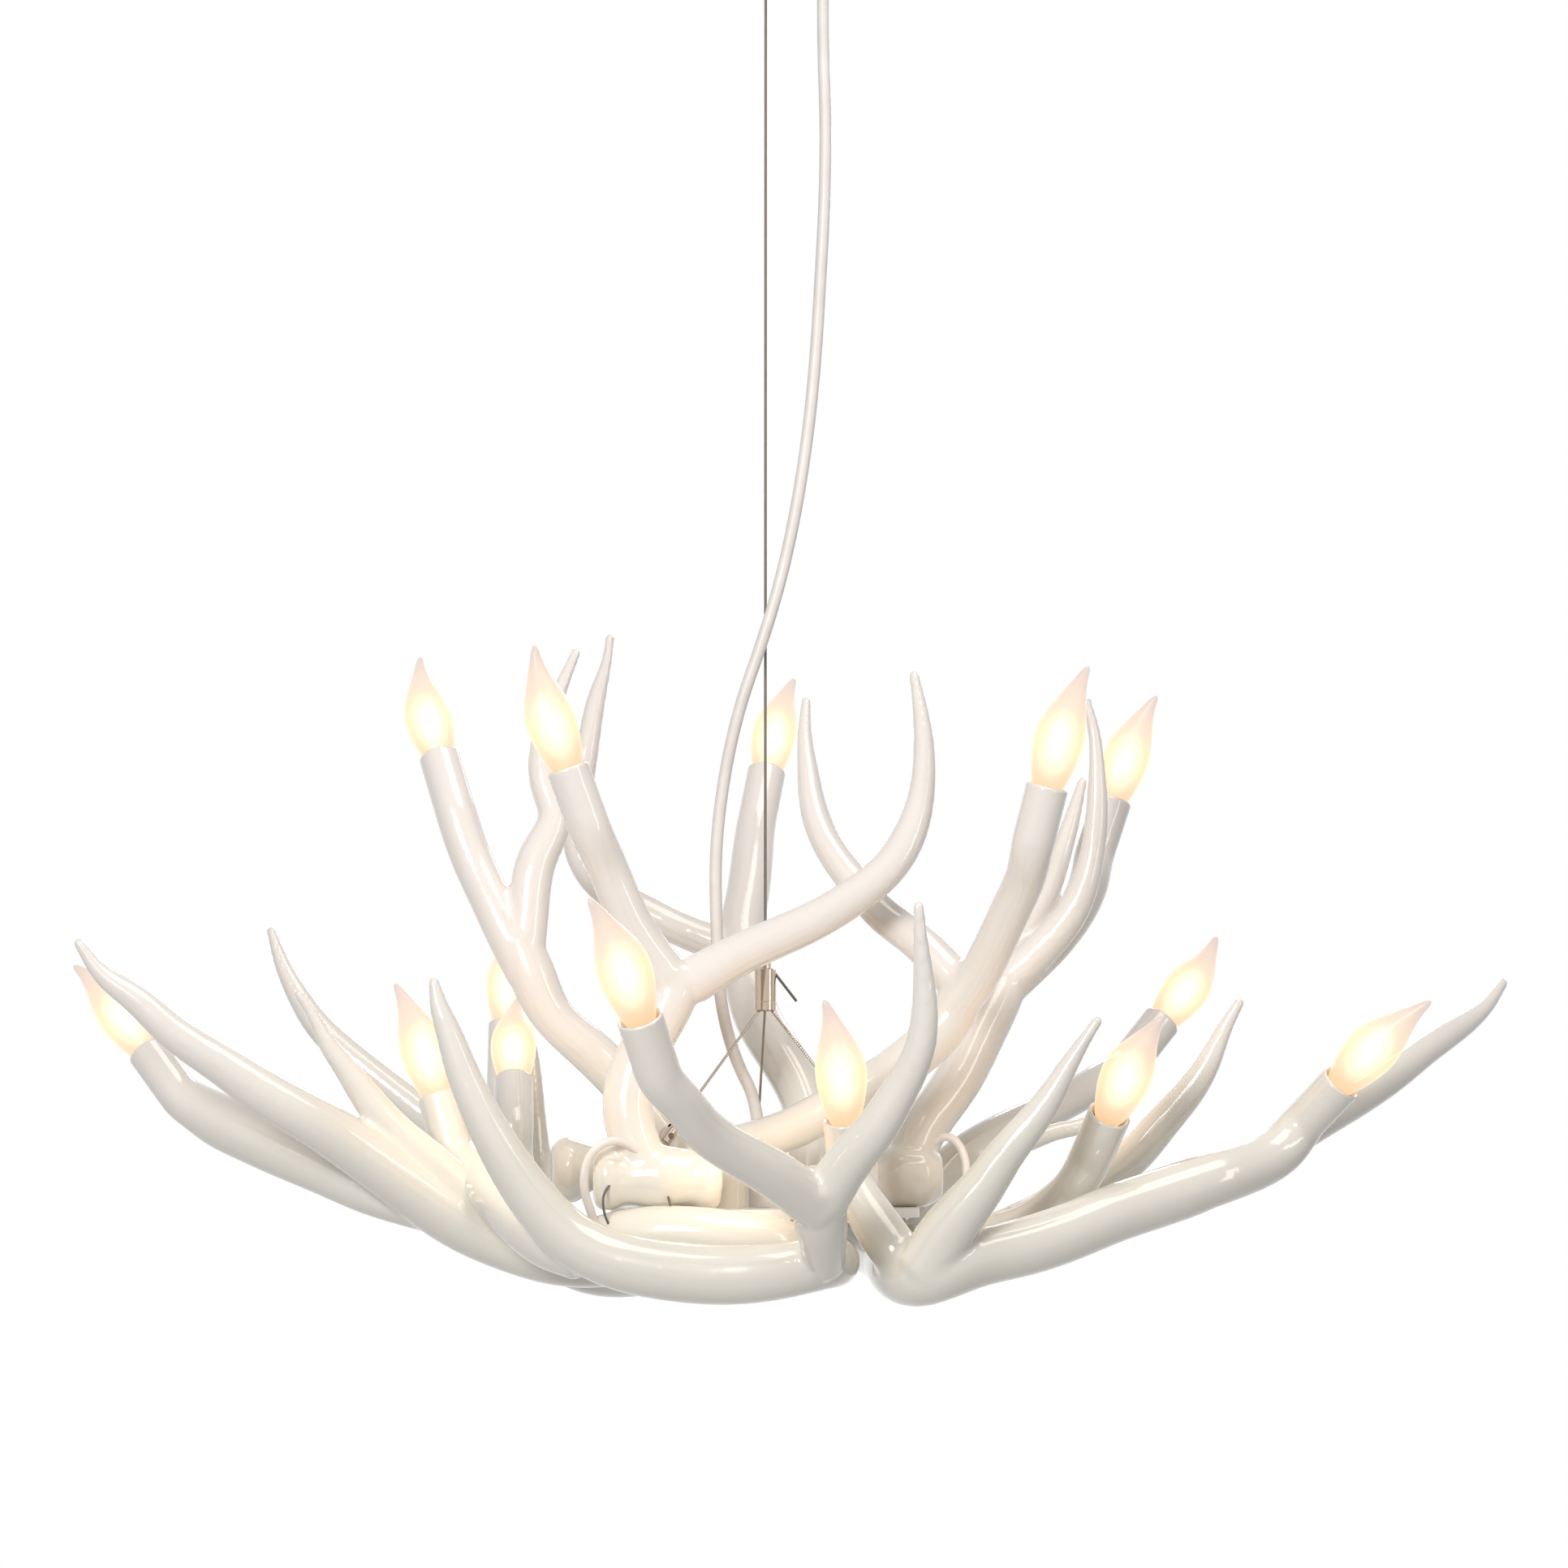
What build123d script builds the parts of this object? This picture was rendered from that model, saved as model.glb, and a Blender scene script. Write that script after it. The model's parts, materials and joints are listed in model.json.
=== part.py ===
"""Antler chandelier: ten glazed ceramic antlers around a steel hub, hung from a cable gripper.

Millimetres, +Z up. The origin is the centre of the canopy's rim, where it meets the ceiling.
"""
import os
from math import cos, pi, radians, sin, tan

from build123d import *

# ---------------------------------------------------------------- driving dimensions
CLUSTER_DROP = 830.0  # ceiling to the level that the antler stations are measured from

ROUND_SIDES = 10  # round limbs, sockets, cords and bulbs have ten-sided sections
ROUNDNESS = 1.033  # corner radius over mean radius of such a section, for the same area
FASTENER_SIDES = 8

# ceramic limbs
SECTION_PITCH = 27.0  # longest run between two sections of a limb
MOUTH_DIAMETER = 27.0  # outside of a socket mouth
MOUTH_LENGTH = 36.0  # straight part of a socket limb
BORE_DIAMETER = 22.5
BORE_DEPTH = 34.0

# lamps: small-base flame bulbs with a bent tip
HOLDER_DIAMETER = 20.0
HOLDER_LENGTH = 26.0
HOLDER_WELL_DIAMETER = 12.6
HOLDER_FLOOR = 4.0
CONTACT_GAP = 0.1
BASE_DIAMETER = 11.8
BASE_TIP_DIAMETER = 5.0
BASE_TIP_LENGTH = 2.5
GLASS_HEEL = 7.5  # depth of the glass below the mouth

# hub
PLATE_RADIUS = 100.0
PLATE_HOLE_DIAMETER = 22.0
PLATE_THICKNESS = 6.0
PLATE_TOP = -46.0  # above the cluster level
LUG_RING_RADIUS = 75.0
LUG_WIDTH = 12.0
LUG_THICKNESS = 3.0
PIN_DIAMETER = 3.9
PIN_HOLE_DIAMETER = 4.2
LEG_COUNT = 3
FIRST_LEG_ANGLE = 94.0
SCREW_DIAMETER = 5.0
SCREW_HEAD_DIAMETER = 10.0
SCREW_LENGTH = 20.0

# bridle and cable gripper
LEG_DIAMETER = 1.6
LEG_SPREAD_RADIUS = 5.0
LEG_INSERT = 3.0
TERMINAL_DIAMETER = 8.0
TERMINAL_LENGTH = 15.0
TERMINAL_SLOT = 3.2
TERMINAL_SLOT_DEPTH = 12.0
TERMINAL_HEEL = 5.0  # part of a terminal beyond its pin
GRIPPER_DIAMETER = 14.0
GRIPPER_BOTTOM = 81.0
COLLECTOR_LENGTH = 6.0
BARREL_LENGTH = 21.5
BODY_GAP = 0.3
SLEEVE_DIAMETER = 7.4
SLEEVE_LENGTH = 9.0
SLEEVE_DEPTH = 4.7  # part of the sleeve inside the barrel
SLEEVE_POCKET_DEPTH = 7.0
CABLE_DIAMETER = 2.0
CABLE_BORE = 2.8
CABLE_END = 85.0
TAIL_START = (5.0, 0.0, 107.4)
TAIL_WAY = (0.61, 0.0, -0.79)
TAIL_LENGTH = 25.0

# wiring
CORD_DIAMETER = 8.0
JUMPER_DIAMETER = 5.5
LASHING_DIAMETER = 1.6
CUP_DIAMETER = 34.0
CUP_HEIGHT = 26.0
CUP_CHAMFER = 3.0
GLAND_DIAMETER = 13.0
GLAND_HEIGHT = 8.0
CUP_PLACE = (-4.0, 25.0)

# ceiling fittings
CANOPY_DIAMETER = 127.0
CANOPY_HEIGHT = 28.0
CANOPY_WALL = 1.6
CANOPY_CHAMFER = 4.0
CROSSBAR_LENGTH = 104.0
CROSSBAR_WIDTH = 20.0
CROSSBAR_THICKNESS = 2.5
CEILING_HOLE_SPACING = 88.9
CEILING_HOLE_DIAMETER = 4.8
CEILING_SCREW_DIAMETER = 4.0
CEILING_HEAD_DIAMETER = 8.0
CEILING_HEAD_HEIGHT = 3.0
STEM_DIAMETER = 10.0
STOP_DIAMETER = 14.0
STOP_LENGTH = 16.0
CORD_OFFSET = 38.0  # cord entry beside the canopy's centre
RELIEF_LENGTH = 20.0
RELIEF_TOP_DIAMETER = 16.0
RELIEF_TIP_DIAMETER = 11.0

# ---------------------------------------------------------------- antler stations
# Every limb is a list of (x, y, z, diameter) from its free end to its root, with z measured
# from the cluster level. A socket limb also has the point and the outward lean of its mouth.
UPPER_LEFT = {
    "sockets": {
        "upper_left": ((-217, 45, 252), (-0.28, 0.42, 0.86), [
            (-195, 24, 186, 27), (-181, 17, 156, 27), (-168, 12, 130, 28), (-155, 10, 106, 29)]),
    },
    "limbs": [
        [(-126, 40, 321, 5), (-137, 36, 294, 10), (-146, 31, 262, 17), (-145, 26, 230, 20),
         (-139, 23, 210, 22), (-149, 18, 184, 26), (-155, 14, 152, 27), (-158, 10, 116, 28)],
        [(-162, 10, 130, 27), (-152, 10, 104, 31), (-140, 10, 80, 28), (-117, 14, 58, 29),
         (-88, 24, 28, 29), (-62, 34, -6, 30), (-48, 39, -32, 32), (-46, 40, -56, 32)],
    ],
}
UPPER_FRONT = {
    "sockets": {
        "upper_front": ((-124, -115, 230), (-0.34, -0.1, 0.935), [
            (-101, -99, 172, 26), (-91, -91, 148, 26), (-76, -83, 120, 27), (-60, -77, 98, 29)]),
    },
    "limbs": [
        [(96, -40, 297, 5), (100, -45, 272, 10), (102, -50, 244, 14), (100, -54, 218, 17),
         (93, -59, 194, 21), (79, -63, 171, 23), (58, -67, 153, 24), (32, -69, 137, 25),
         (6, -71, 125, 26), (-20, -73, 113, 27), (-48, -75, 97, 30)],
        [(-50, -75, 105, 27), (-58, -76, 90, 31), (-68, -78, 70, 31), (-79, -80, 50, 31),
         (-86, -82, 28, 32), (-85, -84, 6, 31), (-74, -86, -22, 30)],
        [(-106, -84, -26, 36), (-99, -84, -26, 43), (-92, -84, -26, 38), (-64, -84, -26, 41),
         (-44, -82, -26, 38), (-36, -81, -26, 43), (-29, -80, -26, 34)],
    ],
}
UPPER_BACK = {
    "sockets": {
        "upper_back": ((1, 225, 258), (0.17, 0.42, 0.89), [
            (-9, 190, 196, 29), (-12, 172, 169, 30), (-16, 153, 140, 31), (-13, 135, 111, 32),
            (-6, 114, 82, 32), (10, 91, 54, 32), (24, 74, 28, 31), (30, 58, 0, 30),
            (31, 50, -28, 32), (31, 48, -56, 33)]),
    },
    "limbs": [
        [(-109, 185, 348, 5), (-111, 182, 332, 7), (-117, 180, 309, 12), (-122, 175, 282, 15),
         (-127, 171, 250, 17), (-131, 167, 221, 19), (-128, 163, 195, 21), (-113, 159, 173, 23),
         (-86, 154, 156, 24), (-58, 151, 142, 24), (-16, 148, 126, 27)],
    ],
}
UPPER_RIGHT = {
    "sockets": {
        "upper_right": ((177, -110, 219), (0.24, -0.15, 0.96), [
            (165, -93, 166, 26), (157, -78, 146, 26), (147, -65, 124, 26), (134, -50, 99, 27),
            (120, -42, 80, 28)]),
    },
    "limbs": [
        [(27, 35, 288, 5), (26, 29, 267, 9), (28, 21, 240, 14), (32, 12, 213, 18),
         (42, 3, 188, 20), (59, -6, 164, 22), (77, -16, 143, 24), (98, -27, 126, 25),
         (124, -40, 98, 27)],
        [(134, -44, 106, 27), (120, -41, 78, 30), (103, -42, 58, 30), (75, -46, 37, 29),
         (46, -45, 20, 28), (17, -38, 5, 27), (-15, -24, -5, 26), (-50, -6, -12, 28),
         (-90, -9, -17, 29), (-114, -14, -20, 31), (-122, -15, -21, 40), (-131, -16, -22, 41),
         (-138, -17, -22, 30)],
        [(-22, -19, -4, 22), (-24, -19, -56, 27)],
    ],
}
UPPER_FAR_RIGHT = {
    "sockets": {
        "upper_far_right": ((238, 130, 230), (0.32, 0.1, 0.94), [
            (220, 112, 172, 27), (208, 101, 148, 27), (190, 89, 127, 28), (160, 76, 99, 29)]),
    },
    "limbs": [
        [(215, 60, 291, 5), (220, 61, 270, 8), (222, 62, 244, 11), (222, 64, 217, 15),
         (218, 66, 184, 17), (207, 68, 152, 21), (186, 72, 126, 24), (158, 76, 100, 27)],
        [(216, 110, 241, 5), (208, 105, 214, 11), (199, 100, 187, 15), (187, 94, 159, 19),
         (170, 87, 132, 22), (156, 78, 104, 24)],
        [(166, 80, 112, 28), (154, 71, 88, 32), (142, 61, 65, 33), (128, 49, 38, 32),
         (110, 37, 13, 31), (96, 26, -12, 32), (92, 22, -30, 32)],
        [(72, 21, -26, 26), (80, 21, -26, 38), (94, 22, -26, 42), (108, 23, -26, 38),
         (116, 23, -26, 26)],
    ],
}
LOWER_FRONT = {
    "sockets": {
        "lower_front_outer": ((-72, -325, 68), (-0.27, -0.45, 0.85), [
            (-49, -295, 20, 25), (-37, -279, 5, 26), (-18, -261, -9, 27), (3, -244, -21, 29),
            (32, -216, -42, 31)]),
        "lower_front_inner": ((-210, -35, 26), (-0.29, 0.2, 0.93), [
            (-189, -52, -19, 26), (-172, -88, -37, 27), (-152, -120, -55, 28),
            (-130, -146, -68, 29), (-112, -158, -73, 30)]),
    },
    "limbs": [
        [(-202, -175, 94, 5), (-199, -174, 80, 11), (-194, -173, 66, 15), (-187, -172, 46, 19),
         (-178, -171, 24, 22), (-167, -170, 2, 25), (-154, -168, -20, 28), (-138, -166, -42, 31),
         (-118, -165, -62, 33), (-91, -166, -75, 35), (-56, -168, -82, 36), (-21, -170, -84, 36),
         (12, -171, -84, 35), (36, -160, -84, 34), (42, -130, -82, 33), (34, -95, -78, 32),
         (20, -55, -72, 32)],
        [(90, -270, 135, 5), (91, -267, 119, 8), (93, -261, 96, 12), (94, -256, 72, 16),
         (90, -251, 48, 19), (79, -245, 26, 22), (66, -240, 5, 25), (52, -233, -12, 27),
         (32, -214, -42, 31)],
        [(31, -226, -26, 30), (33, -208, -48, 34), (35, -190, -68, 32), (34, -166, -88, 32)],
    ],
}
LOWER_RIGHT = {
    "sockets": {
        "lower_right_outer": ((362, -95, 34), (0.57, -0.48, 0.66), [
            (335, -87, -3, 29), (322, -91, -13, 32), (305, -96, -19, 36), (286, -101, -20, 36)]),
        "lower_right_inner": ((49, -135, 11), (-0.08, -0.4, 0.91), [
            (56, -122, -33, 26), (66, -128, -50, 29), (78, -136, -68, 31), (92, -142, -88, 32)]),
    },
    "limbs": [
        [(492, 60, 102, 5), (478, 46, 86, 10), (458, 30, 72, 16), (433, 8, 57, 19),
         (406, -16, 39, 21), (379, -38, 23, 22), (350, -62, 9, 24), (325, -82, -2, 28),
         (298, -98, -13, 34)],
        [(310, -95, -8, 34), (296, -98, -14, 38), (278, -102, -20, 37), (247, -110, -35, 36),
         (216, -118, -48, 36), (185, -127, -60, 36), (159, -133, -68, 36), (129, -141, -75, 36),
         (98, -146, -84, 39), (84, -118, -84, 37), (78, -78, -79, 33), (70, -40, -74, 31),
         (61, 0, -72, 31)],
        [(202, -180, 70, 5), (194, -178, 58, 8), (184, -176, 42, 12), (174, -174, 25, 16),
         (161, -172, 7, 20), (147, -169, -10, 23), (133, -165, -30, 27), (114, -158, -54, 33),
         (97, -148, -82, 38)],
    ],
}
LOWER_BACK_RIGHT = {
    "sockets": {
        "lower_back_right_outer": ((279, 215, 81), (0.6, 0.35, 0.72), [
            (238, 176, 41, 26), (214, 155, 28, 25), (181, 129, 12, 25), (147, 103, -4, 26),
            (120, 83, -24, 28), (100, 66, -46, 30), (76, 50, -68, 31)]),
        "lower_back_right_inner": ((214, -120, 14), (0.29, -0.57, 0.76), [
            (196, -94, -28, 26), (184, -78, -43, 28), (168, -56, -56, 30), (146, -26, -66, 32)]),
    },
    "limbs": [
        [(302, -60, 85, 5), (292, -58, 67, 10), (283, -57, 48, 15), (271, -55, 29, 19),
         (253, -52, 8, 22), (235, -50, -12, 24), (209, -48, -31, 26), (181, -45, -48, 29),
         (146, -28, -66, 31)],
        [(233, 120, 19, 5), (219, 115, 9, 10), (196, 108, 3, 12), (178, 103, -3, 14),
         (158, 98, -8, 17), (134, 90, -16, 21)],
        [(168, -52, -55, 28), (150, -32, -64, 32), (128, -4, -71, 33), (104, 22, -74, 34),
         (80, 38, -74, 33), (52, 42, -72, 32)],
    ],
}
LOWER_LEFT = {
    "sockets": {
        "lower_left": ((-402, 0, 56), (-0.59, 0.3, 0.75), [
            (-364, -14, 15, 31), (-342, -24, -1, 31), (-315, -35, -11, 29), (-282, -46, -24, 28),
            (-250, -57, -37, 28), (-212, -64, -46, 30)]),
    },
    "limbs": [
        [(-427, -125, 120, 5), (-413, -122, 101, 12), (-393, -119, 86, 18), (-369, -116, 65, 22),
         (-341, -112, 46, 25), (-311, -107, 26, 29), (-282, -100, 9, 31), (-252, -88, -11, 34),
         (-223, -75, -32, 37), (-193, -65, -52, 39), (-162, -63, -67, 37), (-130, -70, -77, 34),
         (-102, -76, -78, 33), (-72, -74, -73, 33), (-48, -64, -70, 33), (-34, -52, -70, 32)],
        [(-293, -95, 89, 5), (-285, -93, 77, 7), (-277, -90, 61, 11), (-265, -87, 44, 15),
         (-250, -83, 23, 20), (-233, -78, 3, 23), (-212, -73, -16, 26), (-188, -66, -40, 30)],
    ],
}
LOWER_BACK_LEFT = {
    "sockets": {
        "lower_back_left_outer": ((-186, 290, 81), (0.0, 0.3, 0.95), [
            (-184, 270, 30, 29), (-176, 245, 0, 30), (-165, 212, -36, 31), (-150, 172, -70, 33)]),
        "lower_back_left_inner": ((-175, 190, 39), (-0.05, 0.62, 0.78), [
            (-174, 164, -10, 28), (-165, 152, -37, 29), (-148, 145, -66, 31),
            (-122, 140, -86, 32)]),
    },
    "limbs": [
        [(-352, 250, 146, 5), (-344, 247, 124, 11), (-332, 243, 101, 16), (-316, 239, 78, 20),
         (-295, 235, 58, 22), (-269, 231, 37, 24), (-243, 226, 17, 26), (-216, 220, -3, 29),
         (-190, 206, -24, 31), (-165, 180, -56, 33), (-136, 152, -84, 34), (-101, 126, -92, 34),
         (-68, 100, -86, 34), (-44, 76, -77, 33), (-30, 54, -71, 32)],
        [(-173, 250, 90, 5), (-166, 242, 63, 8), (-163, 233, 34, 12), (-160, 224, 6, 13),
         (-157, 212, -18, 16), (-152, 190, -50, 22)],
    ],
}
UPPER_ANTLERS = {
    "antler_upper_left": UPPER_LEFT,
    "antler_upper_front": UPPER_FRONT,
    "antler_upper_back": UPPER_BACK,
    "antler_upper_right": UPPER_RIGHT,
    "antler_upper_far_right": UPPER_FAR_RIGHT,
}
LOWER_ANTLERS = {
    "antler_lower_front": LOWER_FRONT,
    "antler_lower_right": LOWER_RIGHT,
    "antler_lower_back_right": LOWER_BACK_RIGHT,
    "antler_lower_left": LOWER_LEFT,
    "antler_lower_back_left": LOWER_BACK_LEFT,
}

# flame bulbs: (height above the mouth, diameter, sideways bend)
GLASS_PROFILE = [
    (-GLASS_HEEL, 12.4, 0.0), (0.0, 19.6, 0.0), (12.0, 26.8, 0.0), (24.0, 31.2, 0.0),
    (36.0, 31.0, 0.1), (48.0, 24.4, 0.8), (60.0, 15.2, 2.4), (70.0, 8.6, 4.2), (79.0, 3.6, 6.5)]
BENDS = {  # the way in which each bulb's tip bends: left and right as seen from the front
    "upper_left": 1, "upper_front": 1, "upper_back": 1, "upper_right": 1, "upper_far_right": 1,
    "lower_front_outer": -1, "lower_front_inner": -1, "lower_right_outer": 1,
    "lower_right_inner": -1, "lower_back_right_outer": -1, "lower_back_right_inner": 1,
    "lower_left": -1, "lower_back_left_outer": 1, "lower_back_left_inner": 1}

# countersunk screws through the hub plate: lower antlers from above, upper ones from below
LOWER_SCREWS = [(18, -62), (62, -10), (62, 41), (-38, -56), (-34, 60)]
UPPER_SCREWS = [(-46, 39), (-50, -78), (31, 50), (-24, -19), (88, 22)]

# cord routes, with z from the cluster level
POWER_ROUTE = [
    (38, 0, 782), (38, 0, 724), (40, -2, 668), (39, -2, 612), (36, -1, 560), (33, -3, 510),
    (28, -4, 460),
    (20, -8, 408), (10, -11, 362), (-2, -11, 322), (-17, -6, 280), (-27, 1, 236),
    (-33, 6, 186), (-32, 10, 134), (-30, 14, 88), (-20, 20, 50), (-4, 25, 20)]
LEFT_JUMPER_ROUTE = [
    (-70, -88, -18), (-84, -103, -4), (-99, -108, -2), (-111, -107, -13), (-114, -103, -32),
    (-108, -95, -50), (-103, -84, -68)]
RIGHT_JUMPER_ROUTE = [
    (100, 22, -18), (110, 21, -1), (123, 18, 0), (131, 13, -13), (131, 7, -32),
    (125, 3, -50), (118, 6, -70)]
LASHING_ROUTES = [
    [(-90, -94, -24), (-101, -109, -32), (-101, -108, -48), (-94, -96, -62), (-88, -84, -72)],
    [(-62, -96, -34), (-58, -107, -44), (-60, -100, -58), (-66, -86, -68)]]


# ---------------------------------------------------------------- helpers
def at_cluster(x, y, z):
    """A point given from the cluster level, in the part's own frame."""
    return Vector(x, y, z - CLUSTER_DROP)


def ring(centre, along, across, diameter, sides=ROUND_SIDES):
    """Corners of a many-sided section, square to a limb, that stands for a round one."""
    plane = Plane(origin=centre, x_dir=along.cross(across), z_dir=along)
    radius = ROUNDNESS * diameter / 2
    turns = [2 * pi * side / sides for side in range(sides)]
    return [
        plane.from_local_coords(Vector(radius * cos(turn), radius * sin(turn), 0))
        for turn in turns]


def skin(rings):
    """Add the solid that lies between rings of corners, with flat facets and closed ends."""
    facets = [Face(Wire.make_polygon(rings[0])), Face(Wire.make_polygon(rings[-1]))]
    for lower, upper in zip(rings, rings[1:]):
        for here, corner in enumerate(lower):
            beside = (here + 1) % len(lower)
            facets.append(Face(Wire.make_polygon([corner, lower[beside], upper[here]])))
            facets.append(Face(Wire.make_polygon([lower[beside], upper[beside], upper[here]])))
    add(Solid(Shell(facets)))


def limb(stations, mouth=None):
    """Add one tapering limb along a smooth line through its stations, free end first."""
    centres = [at_cluster(*station[:3]) for station in stations]
    diameters = [station[3] for station in stations]
    if mouth:
        centres.insert(0, mouth.origin - mouth.z_dir * MOUTH_LENGTH)
        diameters.insert(0, MOUTH_DIAMETER)
    chords = [(end - start).length for start, end in zip(centres, centres[1:])]
    first_way = -mouth.z_dir if mouth else (centres[1] - centres[0]).normalized()
    last_way = (centres[-1] - centres[-2]).normalized()
    with BuildLine() as axis:
        Spline(*centres, tangents=(first_way, last_way))
    across = (centres[-1] - centres[0]).cross(Vector(0, 0, 1))
    rings = []
    if mouth:
        rings.append(ring(mouth.origin, first_way, across, MOUTH_DIAMETER))
    walked = 0.0
    for chord, start, end in zip(chords, diameters, diameters[1:]):
        steps = max(1, round(chord / SECTION_PITCH))
        for step in range(steps):
            place = (walked + chord * step / steps) / sum(chords)
            width = start + (end - start) * step / steps
            rings.append(ring(axis.line @ place, axis.line % place, across, width))
        walked += chord
    rings.append(ring(centres[-1], last_way, across, diameters[-1]))
    skin(rings)


def mouth_plane(point, lean):
    """The plane of a socket's mouth, with its normal along the bulb."""
    outward = Vector(*lean).normalized()
    return Plane(origin=at_cluster(*point), x_dir=Vector(1, 0, 0), z_dir=outward)


def corner_radii(points):
    """The largest even bend at each corner of a cord's route."""
    corners = [Vector(*point) for point in points]
    radii = []
    for before, corner, after in zip(corners, corners[1:], corners[2:]):
        turn = radians((corner - before).get_angle(after - corner))
        shorter = min((corner - before).length, (after - corner).length)
        radii.append(0.45 * shorter / tan(turn / 2))
    return radii


def cord_tube(name, points, diameter):
    """Sweep a cord along straight runs joined by tangent arcs, and report its length."""
    corners = [at_cluster(*point) for point in points]
    radii = corner_radii(corners)
    with BuildLine() as route:
        FilletPolyline(*corners, radius=radii)
    with BuildSketch(Plane(origin=corners[0], z_dir=corners[1] - corners[0])) as section:
        RegularPolygon(ROUNDNESS * diameter / 2, ROUND_SIDES)
    path = route.wire()
    sweep(section.sketch, path=path)
    length = path.length
    print(f"{name}: {length:.1f} mm long, radii", [round(radius) for radius in radii],
          f"section x length {pi * diameter ** 2 / 4 * length:.0f} mm3")


def finish(piece, name):
    """Label a finished piece and write it out."""
    piece.part.label = name
    solids = len(piece.part.solids())
    print(f"{name}: {solids} solid(s), {piece.part.volume:.1f} mm3")
    export_step(piece.part, f"parts/{name}.step")


def upright(place, z):
    """A level plane over a spot of the hub, z above the cluster level."""
    return Plane(origin=at_cluster(*place, z))


os.makedirs("parts", exist_ok=True)
MOUTHS = {
    name: mouth_plane(point, lean)
    for antler in [*UPPER_ANTLERS.values(), *LOWER_ANTLERS.values()]
    for name, (point, lean, stations) in antler["sockets"].items()}

# ---------------------------------------------------------------- wiring
with BuildPart() as jumper_cords:
    cord_tube("left jumper", LEFT_JUMPER_ROUTE, JUMPER_DIAMETER)
    cord_tube("right jumper", RIGHT_JUMPER_ROUTE, JUMPER_DIAMETER)
finish(jumper_cords, "jumper_cords")

with BuildPart() as lashing_wires:
    for number, route in enumerate(LASHING_ROUTES):
        cord_tube(f"lashing {number}", route, LASHING_DIAMETER)
finish(lashing_wires, "lashing_wires")

with BuildPart() as wiring_cup:
    with BuildSketch(upright(CUP_PLACE, PLATE_TOP)):
        Circle(CUP_DIAMETER / 2)
    extrude(amount=CUP_HEIGHT)
    chamfer(wiring_cup.edges().group_by(Axis.Z)[-1], length=CUP_CHAMFER)
    with BuildSketch(upright(CUP_PLACE, PLATE_TOP + CUP_HEIGHT)):
        RegularPolygon(GLAND_DIAMETER / 2, 6)
    extrude(amount=GLAND_HEIGHT)
finish(wiring_cup, "wiring_cup")

with BuildPart() as power_cord:
    gland_top = PLATE_TOP + CUP_HEIGHT + GLAND_HEIGHT
    cord_tube("power cord", [*POWER_ROUTE, (*CUP_PLACE, gland_top)], CORD_DIAMETER)
finish(power_cord, "power_cord")


# ---------------------------------------------------------------- hub
def countersunk_screw(place, top_up):
    """One flat-headed screw, its head flush with one side of the plate."""
    head_level = PLATE_TOP if top_up else PLATE_TOP - PLATE_THICKNESS
    way = Vector(0, 0, -1 if top_up else 1)
    head_height = (SCREW_HEAD_DIAMETER - SCREW_DIAMETER) / 2
    seat = at_cluster(*place, head_level)
    shape = [(0, SCREW_HEAD_DIAMETER), (head_height, SCREW_DIAMETER), (SCREW_LENGTH, SCREW_DIAMETER)]
    skin([
        ring(seat + way * depth, way, Vector(0, 1, 0), diameter, FASTENER_SIDES)
        for depth, diameter in shape])


with BuildPart() as antler_screws:
    for spot in LOWER_SCREWS:
        countersunk_screw(spot, top_up=True)
    for spot in UPPER_SCREWS:
        countersunk_screw(spot, top_up=False)
finish(antler_screws, "antler_screws")

LUG_SPOTS = [
    (LUG_RING_RADIUS * cos(radians(FIRST_LEG_ANGLE + 360 / LEG_COUNT * number)),
     LUG_RING_RADIUS * sin(radians(FIRST_LEG_ANGLE + 360 / LEG_COUNT * number)))
    for number in range(LEG_COUNT)]


def leg_top(spot):
    """Where a leg enters the collector."""
    angle_way = Vector(*spot, 0).normalized()
    return at_cluster(0, 0, GRIPPER_BOTTOM) + angle_way * LEG_SPREAD_RADIUS


def pin_plane(spot):
    """The plane of a lug's flat side through its eye: x outward, y up."""
    outward = Vector(*spot, 0).normalized()
    return Plane(origin=at_cluster(*spot, 0), x_dir=outward, z_dir=outward.cross(Vector(0, 0, 1)))


def leg_plane(spot):
    """The plane across a leg at its eye, with its normal up the leg and x along the pin."""
    way = leg_top(spot) - at_cluster(*spot, 0)
    return Plane(origin=at_cluster(*spot, 0), x_dir=pin_plane(spot).z_dir, z_dir=way)


with BuildPart() as hub_spider:
    with BuildSketch(upright((0, 0), PLATE_TOP - PLATE_THICKNESS)):
        Circle(PLATE_RADIUS)
        Circle(PLATE_HOLE_DIAMETER / 2, mode=Mode.SUBTRACT)
    extrude(amount=PLATE_THICKNESS)
    for spot in LUG_SPOTS:
        with BuildSketch(pin_plane(spot)):
            Circle(LUG_WIDTH / 2)
            with Locations((0, PLATE_TOP / 2)):
                Rectangle(LUG_WIDTH, -PLATE_TOP)
            Circle(PIN_HOLE_DIAMETER / 2, mode=Mode.SUBTRACT)
        extrude(amount=LUG_THICKNESS / 2, both=True)
    add(antler_screws.part, mode=Mode.SUBTRACT)
finish(hub_spider, "hub_spider")

with BuildPart() as leg_pins:
    for spot in LUG_SPOTS:
        with BuildSketch(pin_plane(spot)):
            Circle(PIN_DIAMETER / 2)
        extrude(amount=TERMINAL_DIAMETER / 2, both=True)
finish(leg_pins, "leg_pins")

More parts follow.
